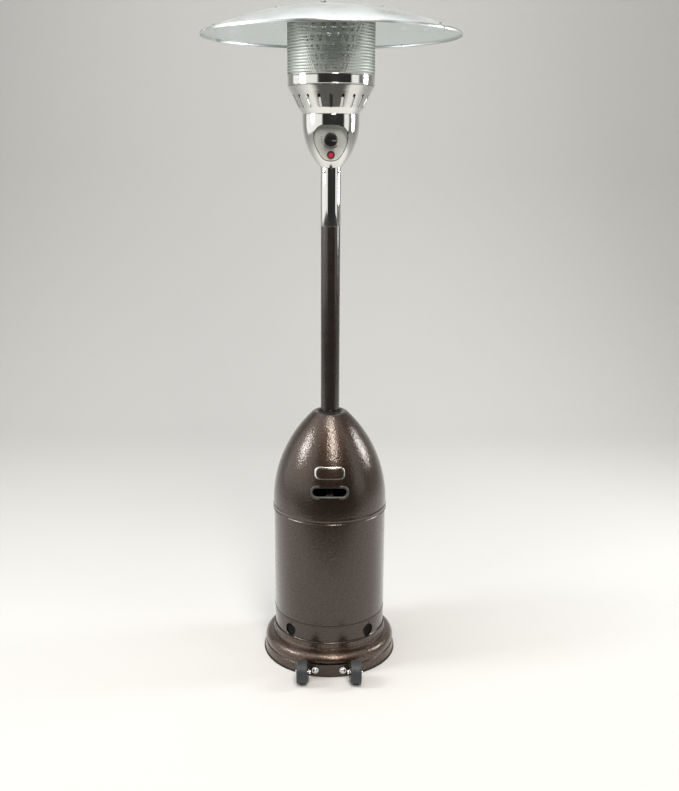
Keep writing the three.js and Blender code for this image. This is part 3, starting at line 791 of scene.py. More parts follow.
def bracket_bolt(name, sign):
    """A dome-headed bolt through the bracket and the base ring, with a washer and a nut."""
    ring_inside = 225.5
    washer_r, washer_top = 12, 1.6
    x, z = BRACKET_BOLT
    outside = math.sqrt((BRACKET_R + BRACKET_SHEET) ** 2 - (x - washer_r) ** 2) + GAP
    back = math.sqrt(ring_inside**2 - (x + NUT_R) ** 2) - GAP
    washer = rounded(
        [
            (0, back - 6),
            (4, back - 6),
            (4, outside),
            (washer_r, outside, 0.3),
            (washer_r, outside + washer_top, 0.6),
            (0, outside + washer_top),
        ]
    )
    cap = domed_head(8, 6.2, Matrix.Translation((0, 0, outside + washer_top)), 32)
    nut = turned(tube(NUT_BORE_R, NUT_R, back - 6, back), 6)
    place = Matrix.Translation((sign * x, 0, z)) @ Matrix.Rotation(math.radians(90), 4, "X")
    bolt = moved(joined(turned(washer, 32), cap, nut), place)
    place_piece(f"bracket_bolt_{name}_head", bolt, "frame", "zinc", [f"bracket_bolt_{name}"])


def wheel_bracket():
    """A plate bent round the front of the base, and a flange at each end that holds an axle."""
    bottom, top, far = 5, 46, 300
    outer = BRACKET_R + BRACKET_SHEET
    plate = turned(sheeted([(outer, bottom), (outer, top)], BRACKET_SHEET), 240)
    end = FLANGE_X + BRACKET_SHEET / 2
    wall = [(end, -far), (far, -far), (far, far), (end, far)]
    beside = prism(wall, 0, 60)
    prism([(-x, y) for x, y in wall][::-1], 0, 60, beside)
    plate = cut(plate, beside)
    plate = cut(plate, prism([(-far, -100), (far, -100), (far, far), (-far, far)], -1, 61))
    sides = bmesh.new()
    for side in (-1, 1):
        place = Matrix.Translation((side * FLANGE_X, 0, 0))
        place = place @ Matrix.Rotation(math.radians(90), 4, "X")
        place = place @ Matrix.Rotation(math.radians(-90), 4, "Y")
        half = BRACKET_SHEET / 2
        prism(flange_outline(bottom, top), -half, half, sides, place, bevel=0.35)
    place = Matrix.Rotation(math.radians(90), 4, "Y")
    place = Matrix.Translation((0, WHEEL_Y, WHEEL_Z)) @ place
    trim = turned(tube(0, BOLT_HOLE_R, -90, 90), 24, place=place)
    turned(tube(0, BASE_R + 2, -10, 80), 240, bm=trim)
    sides = cut(sides, trim)
    plate = cut(plate, bracket_holes(200, 270))
    place_piece("wheel_bracket_skin", joined(plate, sides), "frame", "bronze", ["wheel_bracket"])


def flange_outline(bottom, top):
    """A bracket flange seen from the side: how far in front of the axis, and how high."""
    root, corner = 221, 20
    reach = -WHEEL_Y
    low_arc = [on_circle(corner, degrees).xy for degrees in range(-81, 0, 9)]
    high_arc = [on_circle(corner, degrees).xy for degrees in range(9, 91, 9)]
    outline = [(root, bottom), (reach, bottom)]
    outline += [(reach + x, bottom + corner + y) for x, y in low_arc]
    outline += [(reach + corner, bottom + corner), (reach + corner, WHEEL_Z)]
    outline += [(reach + x, WHEEL_Z + y) for x, y in high_arc]
    return outline + [(246, 56), (235, top), (root, top)]


def post():
    bottom, top = 705.3, 1712
    line = rounded([(POST_R - 2, bottom), (POST_R, bottom, 0.3), (POST_R, top, 0.3), (POST_R - 2, top)])
    place_piece("post_tube", turned(line, 96), "frame", "post", ["lower_post"])
    inner = POST_R + GAP
    top = HOUSING_BOTTOM - GAP
    sleeve = rounded(
        [
            (inner, SLEEVE_BOTTOM),
            (SLEEVE_R, SLEEVE_BOTTOM, 0.6),
            (SLEEVE_R, top, 0.4),
            (inner, top),
        ]
    )
    place_piece("sleeve_tube", turned(sleeve, 96), "frame", "mirror", ["post_sleeve"])
    bolts = []
    for turn in (229, 325, 90):
        bolts.append(domed_head(6.5, 4.5, outwards(SLEEVE_R - 0.5, turn, SLEEVE_BOLT_Z), 32))
    place_piece("sleeve_bolts", joined(*bolts), "frame", "zinc")


def housing():
    arc = ogive((HOUSING_R, HOUSING_WIDEST), (HOUSING_BOTTOM_R, HOUSING_BOTTOM), 26)[::-1]
    line = arc + [(HOUSING_R, HOUSING_TOP - 2), (HOUSING_R - 0.3, HOUSING_TOP)]
    opening = prism(recess_outline(), -2.2, 70, place=PANEL)
    shell = cut(turned(sheeted(line)), opening)
    place_piece("housing_skin", shell, "frame", "mirror", ["control_housing"], smooth=25, bevel=0.5)
    panel_tub(line)
    recess_shadow_line(line)
    screws = []
    for turn in (225, 315, 45, 135):
        screws.append(domed_head(3.4, 2.0, outwards(HOUSING_R - 0.4, turn, HOUSING_SCREW_Z)))
    place_piece("housing_screws", joined(*screws), "frame", "zinc")
    knob_scale_marks()


def outside_of(line, away):
    """Everything round the housing from that far outside its line."""
    clear = 150
    return turned([(r + away, z) for r, z in line] + [(clear, HOUSING_TOP), (clear, HOUSING_BOTTOM)])


def inside_of(line, away):
    """Everything within the housing up to that far outside its line."""
    return turned([(0, HOUSING_BOTTOM)] + [(r + away, z) for r, z in line] + [(0, HOUSING_TOP)])


def panel_tub(line):
    """The recess: a flat back with holes for the stem and the igniter, and a wall to the housing."""
    stem_hole_r, igniter_hole_r = 4.6, 9.3
    tub = cut(prism(recess_outline(1.1), -2, 48), prism(recess_outline(-0.1), -0.2, 60))
    drop = Matrix.Translation((0, -BUTTON_DROP, 0))
    holes = turned(tube(0, stem_hole_r, -9, 9), 24)
    holes = turned(tube(0, igniter_hole_r, -9, 9), 32, bm=holes, place=drop)
    tub = cut(moved(cut(tub, holes), PANEL), outside_of(line, -SHEET - 0.7))
    place_piece("panel_tub", tub, "frame", "panel", ["control_panel"], smooth=40)


def recess_shadow_line(line):
    """A thin dark rubber line where the recess meets the housing: painted shadow of the hood round the
    recess.
    """
    seal = moved(cut(prism(recess_outline(1.6), -2, 60), prism(recess_outline(-0.6), -3, 70)), PANEL)
    seal = cut(seal, outside_of(line, 1.0))
    seal = cut(seal, inside_of(line, -0.5))
    place_piece("recess_shadow_line", seal, "frame", "rubber", smooth=40)


def knob_scale_marks():
    """A red sweep under the knob that widens to the right, and short marks beside it."""
    low, high = 0.12, 0.4
    radius, start, sweep, steps = 27.5, -145, 100, 24
    inner = [on_circle(radius, start + sweep * k / steps).xy for k in range(steps + 1)]
    outer = []
    for k in range(steps, -1, -1):
        wide = 0.6 + 2.6 * k / steps
        outer.append(on_circle(radius + wide, start + sweep * k / steps).xy)
    red = prism(inner + outer, low, high, place=PANEL)
    place_piece("heat_sweep", red, "frame", "red_mark")
    dash = [(-2.2, -1), (2.2, -1), (2.2, 1), (-2.2, 1)]
    marks = bmesh.new()
    for angle in (168, 184, 200):
        place = PANEL @ Matrix.Rotation(math.radians(angle), 4, "Z") @ Matrix.Translation((30, 0, 0))
        prism(dash, low, high, marks, place)
    place_piece("knob_marks", marks, "frame", "mark")


def controls():
    knob()
    igniter()


def knob():
    """A ribbed knob with a raised grip bar and a pale pointer line."""
    skirt = rounded(
        [
            (4.4, 9.3),
            (6.4, 9.3),
            (6.4, 3.4),
            (20.4, 3.4, 0.6),
            (21, 6, 1.2),
            (19.9, 21, 1.0),
            (18.2, 23, 1.6),
            (4.4, 23),
        ]
    )
    bm = turned(skirt, 64)
    rib = [(19.9, -0.75), (20.9, -0.5), (20.9, 0.5), (19.9, 0.75)]
    ribs = 28
    for k in range(ribs):
        prism(rib, 6.5, 19.5, bm, Matrix.Rotation(TURN * k / ribs, 4, "Z"))
    grip = [(4.35, -4.4), (19.5, -3.2), (19.5, 3.2), (4.35, 4.4), (-19.5, 3.2), (-19.5, -3.2)]
    prism(grip, 22.6, 26.8, bm, bevel=0.9)
    place_piece("knob_body", moved(bm, PANEL), "control_knob", "black", ["control_knob"])
    line = [(5, -0.6), (18.6, -0.6), (18.6, 0.6), (5, 0.6)]
    pointer = prism(line, 26.6, 26.95, place=PANEL)
    place_piece("knob_pointer", pointer, "control_knob", "ceramic")


def igniter():
    """A red button in a black ring."""
    drop = PANEL @ Matrix.Translation((0, -BUTTON_DROP, 0))
    bezel = rounded([(8.2, 0.3), (12.6, 0.3, 0.3), (12.4, 4.2, 1.2), (10.6, 5, 0.8), (8.2, 4.6)], True)
    place_piece("igniter_ring", turned(bezel, 64, place=drop), "frame", "black", ["igniter_bezel"])
    cap = rounded([(0, 5.2), (7.9, 5.2, 0.3), (7.9, 8.0, 1.2), (5.6, 8.9, 1.0), (4.6, 8.3, 0.8), (0, 8.1)])
    stem = tube(0, 3, 0, 5.6)
    button = joined(turned(cap, 48, place=drop), turned(stem, 24, place=drop))
    place_piece("igniter_cap", button, "igniter_button", "red", ["igniter_button"])


def burner():
    burner_bowl()
    burner_band()
    emitter_lid()
    emitter_screen()
    flame_cone()


def burner_bowl():
    """A flared bowl with a ring of upright slots."""
    line = rounded(
        [
            (HOUSING_R - 0.9, HOUSING_TOP + 0.3),
            (HOUSING_R - 0.2, HOUSING_TOP + 2, 1.5),
            (104, 1887, 24),
            (128.5, 1934, 40),
            (137.4, BOWL_TOP - 2.5, 2),
            (138.3, BOWL_TOP - 0.7),
        ],
        steps=8,
    )
    slot_count, slot_r, slot_z = 20, 114.6, 1905.5
    slots = bmesh.new()
    for i in range(slot_count):
        place = Matrix.Rotation(math.radians(90) + TURN * i / slot_count, 4, "Z")
        place = place @ Matrix.Translation((slot_r, 0, slot_z))
        place = place @ Matrix.Rotation(math.radians(-60), 4, "Y")
        prism(stadium(45, 9.4, 8), -16, 16, slots, place)
    bowl = cut(turned(sheeted(line)), slots)
    place_piece("burner_bowl_skin", bowl, "frame", "mirror", ["burner_bowl"], smooth=28, bevel=0.3)


def burner_band():
    """A polished band with a bead at each edge, and its screws."""
    bottom = BOWL_TOP + GAP
    flange_r = 126
    band = rounded(
        [
            (flange_r, bottom),
            (BAND_R - 0.6, bottom, 0.4),
            (BAND_R, bottom + 1.6, 0.8),
            (BAND_R - 0.9, bottom + 4.2, 1.5),
            (BAND_R - 0.9, BAND_TOP - 5, 1.5),
            (BAND_R, BAND_TOP - 2.2, 0.8),
            (BAND_R - 0.4, BAND_TOP, 0.4),
            (BAND_R - 1.2, BAND_TOP),
            (BAND_R - 2.0, BAND_TOP - 4),
            (BAND_R - 2.0, bottom + 2.7),
            (flange_r, bottom + 2.7),
        ]
    )
    place_piece("burner_band_skin", turned(band), "frame", "mirror", ["burner_band"])
    screws = []
    for turn in (223, 317, 43, 137):
        screws.append(domed_head(4.2, 2.6, outwards(BAND_R - 1.3, turn, BAND_SCREW_Z)))
    place_piece("band_screws", joined(*screws), "frame", "zinc")


def emitter_lid():
    """The screen's lid, with a boss under each thumb bolt."""
    lip, top = SCREEN_TOP - 9, SCREEN_TOP + 1.5
    lid = rounded(
        [
            (0, SCREEN_TOP),
            (SCREEN_R + GAP, SCREEN_TOP),
            (SCREEN_R + GAP, lip),
            (BAND_R, lip, 0.3),
            (BAND_R, top, 1.2),
            (0, top),
        ]
    )
    cap = turned(lid)
    boss_r = 8
    high = reflector_z(BOLT_CIRCLE + boss_r) - SHEET - 1.4
    for turn in (0, 120, 240):
        place = Matrix.Translation(on_circle(BOLT_CIRCLE, BOLT_TURN + turn))
        turned(tube(4.3, boss_r, SCREEN_TOP + 1, high), 32, bm=cap, place=place)
    place_piece("emitter_lid", cap, "frame", "heat_steel", ["emitter_cap"])


def emitter_screen():
    pitch = settings().hole_pitch / MM
    span = (PAN_Z + 2, SCREEN_TOP - GAP)
    screen = punched(lambda z: SCREEN_R, span, pitch, pitch * 1.1, pitch * 0.44, 0.8)
    place_piece("emitter_mesh", screen, "frame", "screen", ["emitter_screen"], smooth=60)


def flame_cone():
    """The inverted cone inside the screen."""
    low, high = PAN_Z + 39.5, PAN_Z + 181
    low_r, high_r = 46, 98

    def radius_at(z):
        return low_r + (high_r - low_r) * (z - low) / (high - low)

    cone = punched(radius_at, (low, high), 34, 27, 11, 1.0)
    place_piece("flame_cone_skin", cone, "frame", "cone", ["flame_cone"], smooth=60)


def punched(radius_at, span, pitch, row_pitch, hole, thickness):
    """A wall round the axis with staggered rows of round holes, hole being their radius."""
    low, high = span
    widest = max(radius_at(low), radius_at(high))
    columns = round(TURN * widest / pitch)
    rows = round((high - low) / row_pitch)
    corners_per_hole = 8
    bm = bmesh.new()

    def point(u, v):
        z = low + (high - low) * v / rows
        angle = TURN * u / columns
        return (radius_at(z) * math.cos(angle), radius_at(z) * math.sin(angle), z)

    grid = [
        [bm.verts.new(point(i + 0.5 * j, j)) for i in range(columns)] for j in range(rows + 1)
    ]
    for j in range(rows):
        for i in range(columns):
            holes = []
            for k in range(corners_per_hole):
                a = TURN * (k + 5) / corners_per_hole
                u = i + 0.5 + 0.5 * (j + 0.5) + hole / pitch * math.cos(a)
                v = j + 0.5 + hole / row_pitch * math.sin(a)
                holes.append(bm.verts.new(point(u, v)))
            n = (i + 1) % columns
            corners = [grid[j][i], grid[j][n], grid[j + 1][n], grid[j + 1][i]]
            for side in range(4):
                a, b = corners[side], corners[(side + 1) % 4]
                first = 2 * side
                around = [holes[(first + s) % corners_per_hole] for s in (2, 1, 0)]
                bm.faces.new((a, b, *around))
    bmesh.ops.recalc_face_normals(bm, faces=bm.faces)
    bmesh.ops.solidify(bm, geom=bm.faces, thickness=thickness)
    return bm


def reflector():
    for i in range(3):
        number = i + 1
        panel = reflector_panel(SEAM_TURN + 120 * i - 1.5)
        stands_for = [f"reflector_panel_{number}"]
        place_piece(f"reflector_skin_{number}", panel, "frame", "reflector", stands_for, smooth=40)
    for i in range(3):
        number = i + 1
        at = on_circle(BOLT_CIRCLE, BOLT_TURN + 120 * i, reflector_z(BOLT_CIRCLE))
        bolt = thumb_bolt(Matrix.Translation(at))
        place_piece(f"thumb_bolt_{number}", bolt, "frame", "dull_zinc", [f"reflector_bolt_{number}"])
        for j, radius in enumerate(SEAM_SCREWS):
            number = 2 * i + j + 1
            at = on_circle(radius, SEAM_TURN + 120 * i, reflector_z(radius))
            screw = lap_screw(Matrix.Translation(at))
            place_piece(f"lap_screw_{number}", screw, "frame", "dull_zinc", [f"seam_screw_{number}"])
    centre_lid()


def centre_lid():
    """A shallow cap over the point where the panels meet, with a stem down to the screen's lid."""
    rim, stem = 30, 4
    top = reflector_z(rim) + 1.2
    foot = SCREEN_TOP - 6
    cap = rounded(
        [
            (0, foot),
            (stem, foot),
            (stem, top),
            (rim, top, 0.3),
            (rim - 0.5, top + 1.5, 0.6),
            (10, top + 3.6, 6),
            (0, top + 5),
        ]
    )
    place_piece("centre_lid", turned(cap, 64), "frame", "reflector", ["centre_cap"])


def lap_screw(at):
    """A small domed screw through the lap of two panels, with a nut below."""
    line = [(0, -9), (2, -9), (2, 2.2), (4.5, 2.2), (4.5, 3.4), (3.9, 4.8), (2.4, 5.8), (0, 6)]
    nut = turned(tube(2.02, 4, -8.8, -5.8), 6, place=at)
    return joined(turned(line, 24, place=at), nut)


def reflector_panel(start):
    """A third of the dish, with a rolled lip and a strip that runs under its neighbour."""
    shares = (0.03, 0.08, 0.14, 0.2, 0.27, 0.34, 0.41, 0.48, 0.55)
    shares += (0.62, 0.69, 0.76, 0.83, 0.89, 0.94, 0.972, 0.985)
    lap = SHEET + GAP
    columns = 46
    end = start + 120
    stops = [start + 0.1 + (120 - 0.5) * k / columns for k in range(columns + 1)]
    stops += [end - 0.05, end + 0.2, end + 1.5, end + 3.5]
    bm = bmesh.new()
    rows = []
    for index, degrees in enumerate(stops):
        lowered = 0 if index <= columns else lap * min(1.0, index - columns)
        ring = [(share * RIM_R, reflector_z(share * RIM_R) - lowered) for share in shares]
        edge = RIM_R - lowered
        ring += [(edge - 2.6, RIM_Z + 3.4 - lowered), (edge - 0.8, RIM_Z + 2.4 - lowered)]
        ring += [(edge, RIM_Z - 0.2 - lowered), (edge, RIM_Z - 3.6), (edge - 0.4, RIM_Z - 5.4)]
        ring += [(edge - 1.5, RIM_Z - 6.0), (edge - 2.6, RIM_Z - 5.2)]
        line = sheeted(ring[::-1])
        a = math.radians(degrees)
        rows.append([bm.verts.new((r * math.cos(a), r * math.sin(a), z)) for r, z in line])
    lofted(bm, rows)
    bm.faces.new(rows[0][::-1])
    bm.faces.new(rows[-1])
    return bm


def thumb_bolt(at):
    """A bolt with two raised wings to turn it by."""
    line = [(0, -22), (4, -22), (4, 3), (10, 3, 0.3), (10, 4.6, 0.5), (6, 4.6), (6, 9, 1), (0, 10)]
    body = turned(rounded(line), 32, place=at)
    right = [(4, 8), (7, 13), (10, 15.5), (12, 14.5), (10, 9), (6, 5.4)]
    wings = [(-x, z) for x, z in right[3::-1]] + right + [(-x, z) for x, z in right[:3:-1]]
    place = at @ Matrix.Rotation(math.radians(90), 4, "X")
    return joined(body, prism(wings[::-1], -1.2, 1.2, place=place, bevel=0.5))


def cover():
    cover_wall()
    cover_dome()
    slot_trim()
    plate()
    grommet()


def cover_wall():
    low, high = COLLAR_TOP + GAP, DOME_START - 8
    shell = rounded(
        [(COLLAR_R - SHEET, low), (COLLAR_R, low, 0.4), (COLLAR_R, high), (COLLAR_R - SHEET, high)]
    )
    place_piece("cover_wall", turned(shell), "tank_cover", "bronze", ["cover_shell"])


def dome_arc(steps):
    """The dome's outer line, from the bead up to the shoulder."""
    return ogive((COLLAR_R + 2, DOME_START), (DOME_SHOULDER_R + 1, DOME_TOP - 3), steps)


def cover_dome():
    """The dome, from the lip that fits over the wall, past a bead, to the shoulder at the post."""
    arc = dome_arc(40)
    line = rounded(
        [
            (LIP_R, LIP_Z - 0.6),
            (LIP_R + 1.7, LIP_Z, 0.6),
            (LIP_R + 1.7, LIP_Z + 2.6, 1),
            (LIP_R, LIP_Z + 4.6, 1.4),
            (LIP_R, BEAD_Z - 5.5, 2),
            (LIP_R + 2.2, BEAD_Z, 2.6),
            (LIP_R, BEAD_Z + 5, 2),
            arc[0],
        ]
    )
    line += arc[1:-1]
    line += rounded(
        [
            arc[-2],
            (DOME_SHOULDER_R + 1, DOME_TOP - 3, 3),
            (DOME_SHOULDER_R - 7, DOME_TOP, 4),
            (44, DOME_TOP - 1.5, 4),
            (37.4, DOME_TOP - 7),
        ]
    )[1:]
    facing = Matrix.Translation((0, 0, SLOT_Z)) @ Matrix.Rotation(math.radians(90), 4, "X")
    slot = prism(stadium(120, 35, 12), 120, 230, place=facing)
    dome = cut(turned(sheeted(line)), slot)
    place_piece("cover_dome_skin", dome, "tank_cover", "bronze", ["cover_dome"], smooth=34)


def grommet():
    """A rubber ring round the post, lipped over the dome's top hole."""
    inner = 32.1
    line = rounded(
        [
            (inner, DOME_TOP - 16),
            (35.2, DOME_TOP - 16, 0.4),
            (35.2, DOME_TOP - 7.5, 0.4),
            (38.5, DOME_TOP - 4.5, 1),
            (38.5, DOME_TOP - 1.5, 1.4),
            (36, DOME_TOP, 1.2),
            (inner, DOME_TOP, 0.5),
        ],
        True,
    )
    place_piece("post_grommet_ring", turned(line, 96), "tank_cover", "rubber", ["post_grommet"])


def dome_radius(z):
    """Radius of the dome's outer face at a height."""
    arc = dome_arc(80)
    for (r0, z0), (r1, z1) in zip(arc, arc[1:]):
        if z0 <= z <= z1:
            return r0 + (r1 - r0) * (z - z0) / (z1 - z0)
    raise ValueError("height off the dome")


def dome_point(x, z, out):
    """The point at x and z that lies that far out from the front of the dome."""
    radius = dome_radius(z) + out
    return (x, -math.sqrt(radius**2 - x * x), z)


def slot_trim():
    """The slot's frame: a pressed ring that lies on the dome, and a short throat."""
    inner = stadium(114, 29, 14)
    profile = [(0.3, -9.0), (0.1, 0.2), (0.8, 1.3), (2.4, 1.9), (4.6, 1.5), (6.6, 2.0), (8.0, 1.3)]
    profile += [(8.4, 0.3), (7.0, 0.1), (2.4, 0.1), (2.2, -9.0)]
    bm = bmesh.new()
    rings = []
    for k, (x, z) in enumerate(inner):
        along = (Vector(inner[(k + 1) % len(inner)]) - Vector(inner[k - 1])).normalized()
        row = []
        for away, out in profile:
            at = dome_point(x + along.y * away, SLOT_Z + z - along.x * away, out)
            row.append(bm.verts.new(at))
        rings.append(row)
    lofted(bm, rings, around=True)
    place_piece("hand_slot_frame", bm, "tank_cover", "trim", ["hand_slot_trim"], smooth=50)


def plate():
    """A plain plate bent to the dome, with a raised border and no lettering."""
    for name, width, height, low, high, finish, stands_for in (
        ("plate_face", 101, 40, 0.4, 2.0, "zinc", ["name_plate"]),
        ("plate_field", 92, 31, 1.8, 2.5, "bronze", []),
    ):
        corner = height * 0.42
        x, z = width / 2, height / 2
        corners = [(-x, -z, corner), (x, -z, corner), (x, z, corner), (-x, z, corner)]
        shape = divided(rounded(corners, True, 10), 4.0)
        levels = [(1.0, low), (1.0, high - 0.5), (0.985, high)]
        levels += [(share / 10, high) for share in range(9, 0, -1)]
        bm = bmesh.new()
        rings = []
        for share, out in levels:
            rings.append([bm.verts.new(dome_point(x * share, PLATE_Z + z * share, out)) for x, z in shape])
        lofted(bm, rings)
        bm.faces.new(rings[-1])
        bm.faces.new(rings[0][::-1])
        place_piece(name, bm, "tank_cover", finish, stands_for, smooth=50)


def plain_nodes():
    """Gives every CAD node that still shows its own finish."""
    finish_of = {}
    for finish, slot_name in SLOT_OF.items():
        finish_of.setdefault(slot_name, finish)
    finish_of["stainless"] = "heat_steel"
    finish_of["aluminium"] = "cast"
    for row in frame["record"]["subparts"]:
        node = frame["nodes"][row["node"]]
        if node.hide_render:
            continue
        node.data.materials.clear()
        node.data.materials.append(MATERIALS[finish_of[row["material_slot"]]])


# ---- stage --------------------------------------------------------------------------------


def studio_floor(heater):
    """A pale floor that sweeps up behind into a wall, and darkens ahead, below the camera's view."""
    front, depth, half_width, wall_top = -7.0, 2.6, 8.0, 7.0
    sweep, steps = 1.6, 24
    line = [(front, 0.0), (depth, 0.0)]
    for k in range(1, steps + 1):
        a = math.radians(90 * k / steps)
        line.append((depth + sweep * math.sin(a), sweep * (1 - math.cos(a))))
    line.append((depth + sweep, wall_top))
    bm = bmesh.new()
    left, right = [
        [bm.verts.new((x, y, z)) for y, z in line] for x in (-half_width, half_width)
    ]
    for k in range(len(line) - 1):
        bm.faces.new((left[k], right[k], right[k + 1], left[k + 1]))
    mesh = bpy.data.meshes.new("studio_floor")
    bm.to_mesh(mesh)
    bm.free()
    mesh.shade_smooth()
    obj = bpy.data.objects.new("studio_floor", mesh)
    bpy.context.scene.collection.objects.link(obj)
    s = Shader("studio_paper")
    ahead = s.ranged(s.axis("Y"), -0.88, -1.3)
    s.set(Base_Color=s.blend(ahead, rgba(heater.floor_colour), rgba(heater.floor_colour, 0.1)))
    s.set(Roughness=0.7, Specular_IOR_Level=0.2)
    s.set(Normal=s.bump(s.noise(900.0, 2.0), 0.03, 0.0004))
    mesh.materials.append(s.material)


def softbox(name, place, aim, width, height, power, colour=(1.0, 1.0, 1.0)):
    """A rectangular light at a place, turned to face its aim."""
    data = bpy.data.lights.new(name, "AREA")
    data.shape = "RECTANGLE"
    data.size = width
    data.size_y = height
    data.energy = power
    data.color = colour
    obj = bpy.data.objects.new(name, data)
    obj.location = place
    obj.rotation_euler = (Vector(aim) - Vector(place)).to_track_quat("-Z", "Y").to_euler()
    bpy.context.scene.collection.objects.link(obj)


def studio_world(heater):
    """Bright sides, a dark card ahead and dim surroundings behind, to give polished metal contrast."""
    world = bpy.data.worlds.new("studio")
    bpy.context.scene.world = world
    world.use_nodes = True
    tree = world.node_tree
    tree.nodes.clear()
    out = tree.nodes.new("ShaderNodeOutputWorld")
    background = tree.nodes.new("ShaderNodeBackground")
    tree.links.new(background.outputs["Background"], out.inputs["Surface"])
    direction = tree.nodes.new("ShaderNodeTexCoord").outputs["Generated"]
    parts = tree.nodes.new("ShaderNodeSeparateXYZ")
    tree.links.new(direction, parts.inputs["Vector"])
    ahead = tree.nodes.new("ShaderNodeMath")
    ahead.operation = "MULTIPLY"
    tree.links.new(parts.outputs["Y"], ahead.inputs[0])
    ahead.inputs[1].default_value = -1.0
    turn = tree.nodes.new("ShaderNodeMath")
    turn.operation = "ARCTAN2"
    tree.links.new(parts.outputs["X"], turn.inputs[0])
    tree.links.new(ahead.outputs["Value"], turn.inputs[1])
    share = tree.nodes.new("ShaderNodeMapRange")
    tree.links.new(turn.outputs["Value"], share.inputs["Value"])
    share.inputs["From Min"].default_value = -math.pi
    share.inputs["From Max"].default_value = math.pi
    ramp = tree.nodes.new("ShaderNodeValToRGB")
    tree.links.new(share.outputs["Result"], ramp.inputs["Fac"])
    # Degrees from straight ahead of the heater, positive to the right, and the brightness there.
    levels = (
        (-180, 0.28),
        (-124, 0.3),
        (-114, 1.15),
        (-38, 1.0),
        (-33, heater.dark_card),
        (53, heater.dark_card),
        (57, 1.0),
        (75, 1.0),
        (80, 0.18),
        (120, 0.18),
        (126, 0.28),
        (180, 0.28),
    )
    elements = ramp.color_ramp.elements
    for degrees, level in levels:
        place = (degrees + 180) / 360
        end = {0.0: 0, 1.0: -1}.get(place)
        element = elements.new(place) if end is None else elements[end]
        element.color = (level, level, level * 0.97, 1.0)
    tree.links.new(ramp.outputs["Color"], background.inputs["Color"])
    background.inputs["Strength"].default_value = heater.world_strength


def stage():
    heater = settings()
    studio_floor(heater)
    studio_world(heater)
    studio_lights(heater.light_power)
    studio_camera(heater)
    view = bpy.context.scene.view_settings
    view.view_transform = "Standard"
    view.look = "None"


def studio_lights(power):
    cover_centre = (0, 0, 0.8)
    warm = (1.0, 0.93, 0.85)
    softbox("softbox_left", (-2.54, -0.54, 2.3), cover_centre, 0.7, 1.1, power)
    softbox("softbox_right", (2.75, 0.53, 1.85), cover_centre, 0.7, 1.1, power * 0.9)
    softbox("softbox_top", (0.41, -2.05, 3.25), cover_centre, 0.7, 1.9, power * 1.75, warm)
    softbox("softbox_overhead", (0, -1.1, 4.2), (0, -0.2, 0), 1.5, 0.5, power * 0.75, warm)
    softbox("softbox_back", (0, 1.6, 4.4), (0, 2.0, 0), 4.4, 3.0, power * 1.3)


def studio_camera(heater):
    data = bpy.data.cameras.new("camera")
    data.lens = heater.lens
    data.sensor_width = 36.0
    data.shift_x = 0.012
    data.shift_y = 0.0029
    camera = bpy.data.objects.new("camera", data)
    tilt = Matrix.Rotation(math.radians(90) - heater.camera_tilt, 4, "X")
    roll = Matrix.Rotation(heater.camera_roll, 4, "Z")
    camera.matrix_world = Matrix.Translation(heater.camera_place) @ tilt @ roll
    bpy.context.scene.collection.objects.link(camera)
    bpy.context.scene.camera = camera


# ---- add-on -------------------------------------------------------------------------------


class HeaterSettings(bpy.types.PropertyGroup):
    """Sizes, colours, lights and camera that a user would change."""

    facets: IntProperty(
        name="Facets", description="Steps round the large pieces", default=144, min=24, max=288
    )
    hole_pitch: FloatProperty(
        name="Hole pitch",
        description="Distance between the emitter's holes",
        default=0.0082,
        min=0.005,
        max=0.02,
        unit="LENGTH",
    )
    hammer_scale: FloatProperty(
        name="Hammer scale",
        description="Dimples of the hammered paint per metre",
        default=210.0,
        min=50.0,
        max=800.0,
    )
    bronze: FloatVectorProperty(
        name="Bronze",
        description="Tank cover and base paint",
        default=(0.034, 0.023, 0.0165),
        subtype="COLOR",
    )
    bronze_light: FloatVectorProperty(
        name="Bronze flake",
        description="Bright flake in the paint",
        default=(0.28, 0.16, 0.1),
        subtype="COLOR",
    )
    post: FloatVectorProperty(
        name="Post", description="Post paint", default=(0.018, 0.013, 0.011), subtype="COLOR"
    )
    steel: FloatVectorProperty(
        name="Steel", description="Polished steel", default=(0.8, 0.8, 0.77), subtype="COLOR"
    )
    reflector: FloatVectorProperty(
        name="Reflector",
        description="Reflector aluminium",
        default=(0.78, 0.82, 0.82),
        subtype="COLOR",
    )
    floor_colour: FloatVectorProperty(
        name="Floor", description="Studio paper", default=(0.66, 0.66, 0.65), subtype="COLOR"
    )
    light_power: FloatProperty(
        name="Light power", description="Main softboxes", default=42.0, unit="POWER"
    )
    world_strength: FloatProperty(
        name="Surroundings", description="Brightness of the surroundings", default=1.0
    )
    dark_card: FloatProperty(
        name="Dark card", description="Brightness straight ahead of the heater", default=0.03
    )
    lens: FloatProperty(
        name="Lens", description="Camera focal length", default=44.0, unit="CAMERA"
    )
    camera_tilt: FloatProperty(
        name="Camera tilt", description="How far below level", default=math.radians(14.7), subtype="ANGLE"
    )
    camera_roll: FloatProperty(
        name="Camera roll", description="Turn about its axis", default=math.radians(0.2), subtype="ANGLE"
    )
    camera_place: FloatVectorProperty(
        name="Camera place",
        description="Where the camera stands",
        default=(0.0, -3.214, 1.776),
        subtype="TRANSLATION",
    )


class HEATER_OT_materials(bpy.types.Operator):
    """Makes every finish."""

    bl_idname = "heater.materials"
    bl_label = "Materials"

    def execute(self, context):
        make_materials(settings())
        return {"FINISHED"}


class HEATER_OT_base(bpy.types.Operator):
    """Builds the foot trim, base ring, vent band and the rubber seam rings that paint the shade in its
    seams.
    """

    bl_idname = "heater.base"
    bl_label = "Base"

    def execute(self, context):
        base()
        return {"FINISHED"}


class HEATER_OT_wheels(bpy.types.Operator):
    """Builds the wheels, their axles and the bracket."""

    bl_idname = "heater.wheels"
    bl_label = "Wheels"

    def execute(self, context):
        wheels()
        return {"FINISHED"}


